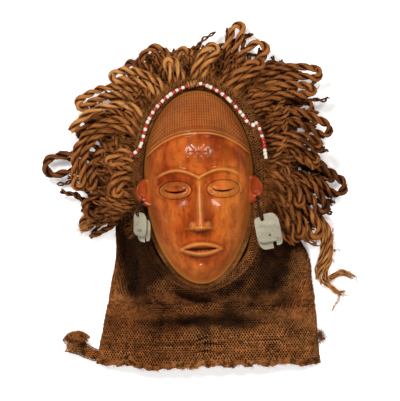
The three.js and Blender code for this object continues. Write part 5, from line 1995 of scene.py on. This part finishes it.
class MaskColours(bpy.types.PropertyGroup):
    """Colours of the wood, cloth, wig, beads and pendants"""

    wood: colour_property("Wood", (0.45, 0.082, 0.011))
    wood_light: colour_property("Light wood", (0.57, 0.15, 0.022))
    wood_dark: colour_property("Dark wood", (0.23, 0.03, 0.005))
    wood_ridge: colour_property("Worn ridge", (0.66, 0.27, 0.055))
    wood_cut: colour_property("Cut in the wood", (0.05, 0.013, 0.004))
    coiffure: colour_property("Coiffure", (0.2, 0.058, 0.016))
    wood_inside: colour_property("Inside of the wood", (0.1, 0.045, 0.02))
    # Near black: painted shade for the dark seen through the holes of the netting
    cloth: colour_property("Cloth", (0.016, 0.006, 0.0025))
    strand: colour_property("Netting strand", (0.4, 0.16, 0.048))
    # Colour that the netting's painted shade and dirt darken it towards
    strand_soiled: colour_property("Soiled netting", (0.024, 0.009, 0.0035))
    cord_dark: colour_property("Dark bast", (0.045, 0.014, 0.004))
    cord_mid: colour_property("Bast", (0.225, 0.074, 0.019))
    cord_light: colour_property("Light bast", (0.44, 0.165, 0.042))
    cord_pale: colour_property("Pale bast", (0.6, 0.29, 0.092))
    bead_white: colour_property("White bead", (0.78, 0.7, 0.58))
    bead_red: colour_property("Red bead", (0.42, 0.02, 0.015))
    plate: colour_property("Plate", (0.4, 0.365, 0.27))
    pendant_cord: colour_property("Pendant cord", (0.035, 0.016, 0.009))


def wig_kit(sizes):
    """The wig's trees, and the plain values that its cords and loose fibres start from."""
    bast = material_named("bast_fibre", bast_material)
    cord = {"Plies": sizes.plies, "Orbit": sizes.ply_orbit, "Ply_Radius": sizes.ply, "Pitch": sizes.twist,
            "Sides": WIG.sides, "Material": bast}
    fibre = {"Length": sizes.stray_length, "Rise": sizes.stray_rise, "Thickness": sizes.stray,
             "Material": bast}
    return Sizes(cords=cord_tree(), fibres=fibre_tree(), cord=cord, fibre=fibre)


# Operators, in the order in which main() calls them
class MASK_OT_stage(bpy.types.Operator):
    """Camera above the lying mask, soft lights and a white floor"""

    bl_idname = "mask.stage"
    bl_label = "Stage"

    def execute(self, context):
        scene = context.scene
        camera = bpy.data.cameras.new("camera")
        camera.sensor_width = VIEW.sensor
        camera.lens = VIEW.sensor * (VIEW.distance - VIEW.level) / VIEW.width
        holder = bpy.data.objects.new("camera", camera)
        holder.location = [value * MM for value in (*VIEW.middle, VIEW.distance)]
        scene.collection.objects.link(holder)
        scene.camera = holder
        for name, place, size, power, colour in LIGHTS:
            light = bpy.data.lights.new(name, "AREA")
            light.size = size
            light.energy = power
            light.color = colour
            lamp = bpy.data.objects.new(name, light)
            lamp.location = place
            lamp.rotation_euler = (Vector(STUDIO.aim) - Vector(place)).to_track_quat("-Z", "Y").to_euler()
            scene.collection.objects.link(lamp)
        world = bpy.data.worlds.new("studio")
        world.use_nodes = True
        world.node_tree.nodes["Background"].inputs["Color"].default_value = (*WHITE, 1)
        world.node_tree.nodes["Background"].inputs["Strength"].default_value = STUDIO.sky
        scene.world = world
        scene.view_settings.view_transform = "Standard"
        half = STUDIO.floor
        corners = [(-half, -half, 0), (half, -half, 0), (half, half, 0), (-half, half, 0)]
        floor = put("floor", corners, [(0, 1, 2, 3)])
        material, _, _ = new_material("white_floor", Roughness=0.9, Base_Color=(*WHITE, 1),
                                      Emission_Color=(*WHITE, 1), Emission_Strength=STUDIO.floor_glow)
        floor.data.materials.append(material)
        floor.visible_glossy = False
        return {"FINISHED"}


class MASK_OT_face(bpy.types.Operator):
    """The carved wooden face"""

    bl_idname = "mask.face"
    bl_label = "Carved face"

    def execute(self, context):
        settle(carved_face(), material_named("carved_wood", wood_material), ["wooden_face"])
        return {"FINISHED"}


class MASK_OT_cloth(bpy.types.Operator):
    """The cloth hood and cape, with its rolled edge, hem and curled corner"""

    bl_idname = "mask.cloth"
    bl_label = "Hood and cape"

    def execute(self, context):
        ground = material_named("cloth_ground", cloth_material)
        cloth = settle(cloth_shell(), ground, ["fibre_hood"])
        parts = [hood_roll(), hem_edge(), corner_flap(), corner_lip(), rim_binding(), lining()]
        for part in parts:
            settle(part, ground)
        return {"FINISHED"}


class MASK_OT_netting(bpy.types.Operator):
    """The looped stitches over the cloth, its rolled edge, hem and corner"""

    bl_idname = "mask.netting"
    bl_label = "Netting"

    def execute(self, context):
        sizes = context.scene.mask_sizes
        strand = material_named("netted_strand", strand_material)
        tree = stitch_tree()
        settings = {"Pitch": NET.pitch * MM, "Row": NET.row * MM, "Thickness": sizes.strand,
                    "Lift": sizes.stitch_lift, "Material": strand}
        hem = spaced(hem_line(), 1.7)
        spots = net_points()
        y = spots[0][:, 1]
        groups = {
            "hood_netting": picked(spots, y > NET.cape_y),
            "cape_netting": picked(spots, (y <= NET.cape_y) & (y > NET.hem_y)),
            "hem_netting": picked(spots, y <= NET.hem_y),
            "roll_netting": roll_net_points(),
            "hem_binding": wound_points(hem, hem_radii(hem) - 0.2, range(-80, 170, 35), 31),
            "lip_binding": wound_points(spaced(lip_line(), 1.7), LIP.radius, range(0, 360, 30), 32),
            "corner_netting": corner_points(),
            "rim_stitches": rim_points(),
        }
        worn = ("hem_binding", "lip_binding", "corner_netting")
        for seed, (name, group) in enumerate(groups.items()):
            piece = net_piece(name, group, tree, settings, seed, name in worn)
            settle(piece)
        frayed = {"Length": sizes.fray_length, "Rise": 0.3 * sizes.fray_length,
                  "Thickness": 0.7 * sizes.strand, "Material": strand}
        fray = stray_piece("frayed_hem", fray_spots(33), Sizes(fibres=fibre_tree(), fibre=frayed), 34)
        paint(fray, "tone", np.full(len(fray.data.vertices), 0.6))
        in_tuft = points_of(fray)[:, 0] > TUFT.x - TUFT.spread
        # The tuft at the right edge is painted darker.
        paint(fray, "soiled", 0.7 * in_tuft)
        settle(fray)
        return {"FINISHED"}


class MASK_OT_wig(bpy.types.Operator):
    """The looped cords of the wig, with the loose fibres at their roots and the trailing rope"""

    bl_idname = "mask.wig"
    bl_label = "Wig"

    def execute(self, context):
        kit = wig_kit(context.scene.mask_sizes)
        for number, lock in enumerate(LOCKS, 1):
            settle(wig_lock(number, lock, kit), replaces=[f"hair_lock_{number:02d}"])
        settle(trailing_rope(kit), replaces=["hair_trailing_cord"])
        for number in range(len(BUNDLES)):
            settle(frayed_bundle(number, kit))
        settle(root_strands("under_strands", 165, kit, 53, (8, 34), (44, 96), 2.0, 0.0))
        settle(root_strands("root_strands", 90, kit, 54, (44, 64), (26, 50), 2.1, 0.15))
        settle(root_mat(), kit.cord["Material"])
        band = band_spots(2700, 81, (-24, 204), (3, 34))
        fuzz = stray_piece("band_fuzz", band, kit, 82, Length=0.008, Rise=0.0012)
        settle(tint(fuzz, 0.5))
        arc = (ROOTS.first, ROOTS.last)
        spots = gathered([
            frizz_spots(1300, 77, arc, (20, 70), (-4, 18), 0.6),
            on_hood_spots(250, 79, arc, (-14, 2), 0.6),
            on_hood_spots(450, 80, (-14, 19), (-20, 0), 0.9),
        ])
        frizz = stray_piece("root_frizz", spots, kit, 78, Length=0.017, Rise=0.007)
        settle(tint(frizz, 0.3))
        return {"FINISHED"}


class MASK_OT_beads(bpy.types.Operator):
    """The string of white and red beads over the brow"""

    bl_idname = "mask.beads"
    bl_label = "Bead string"

    def execute(self, context):
        sizes = context.scene.mask_sizes
        glass = material_named("bead_glass", bead_material)
        places, along, red, spacing = bead_places()
        rng = np.random.default_rng(12)
        places = places + rng.normal(0, 0.15, places.shape)
        outs = unit(along + rng.normal(0, 0.09, along.shape))
        lays = unit(np.cross(outs, (0, 0, 1)))
        piece = put_spots("beads", places, outs, lays, rng.uniform(0.9, 1.08, len(places)))
        paint(piece, "red", red.astype(float))
        wall = (BEAD.radius - BEAD.bore) / 2
        grow(piece, bead_tree(), Radius=BEAD.radius * MM, Bore=BEAD.bore * MM,
             Stretch=spacing / 2 / wall * 0.98, Material=glass)
        settle(piece, replaces=["bead_string"])
        dark = material_named("dark_cord", pendant_cord_material)
        line = spaced(bead_line(), 2)
        thread = put("bead_thread", *tube(line, sizes.thread / MM, 6))
        settle(thread, dark)
        bast = material_named("bast_fibre", bast_material)
        settle(bead_tie(cord_tree(), bast))
        return {"FINISHED"}


class MASK_OT_pendants(bpy.types.Operator):
    """The pale plates at each ear and the cords that carry them"""

    bl_idname = "mask.pendants"
    bl_label = "Ear pendants"

    def execute(self, context):
        pale = material_named("plate_surface", plate_material)
        dark = material_named("dark_cord", pendant_cord_material)
        cords = cord_tree()
        settings = {"Plies": 2, "Orbit": 0.0005, "Ply_Radius": 0.0006, "Pitch": 0.0035, "Sides": 6,
                    "Phase": 0.0, "Seed": 3, "Material": dark}
        for side in PENDANTS:
            for back in (False, True):
                node = f"pendant_{side}_{'back' if back else 'front'}"
                settle(pendant_plate(side, back), pale, [node])
            settle(pendant_loop(side, cords, settings), replaces=[f"pendant_cord_{side}"])
        return {"FINISHED"}


class MASK_PT_panel(bpy.types.Panel):
    """The mask's sizes, colours and pieces"""

    bl_idname = "MASK_PT_panel"
    bl_label = "Mask"
    bl_space_type = "VIEW_3D"
    bl_region_type = "UI"
    bl_category = "Mask"

    def draw(self, context):
        for group in (context.scene.mask_sizes, context.scene.mask_colours):
            column = self.layout.column(align=True)
            for name in group.__annotations__:
                column.prop(group, name)
        for operator in OPERATORS:
            self.layout.operator(operator.bl_idname)


OPERATORS = (MASK_OT_stage, MASK_OT_face, MASK_OT_cloth, MASK_OT_netting, MASK_OT_wig, MASK_OT_beads,
             MASK_OT_pendants)
CLASSES = (MaskSizes, MaskColours, *OPERATORS, MASK_PT_panel)


def register():
    for cls in CLASSES:
        bpy.utils.register_class(cls)
    bpy.types.Scene.mask_sizes = bpy.props.PointerProperty(type=MaskSizes)
    bpy.types.Scene.mask_colours = bpy.props.PointerProperty(type=MaskColours)


def unregister():
    del bpy.types.Scene.mask_colours
    del bpy.types.Scene.mask_sizes
    for cls in reversed(CLASSES):
        bpy.utils.unregister_class(cls)


def main():
    register()
    bpy.ops.mask.stage()
    bpy.ops.mask.face()
    bpy.ops.mask.cloth()
    bpy.ops.mask.netting()
    bpy.ops.mask.wig()
    bpy.ops.mask.beads()
    bpy.ops.mask.pendants()


if __name__ == "__main__":
    main()
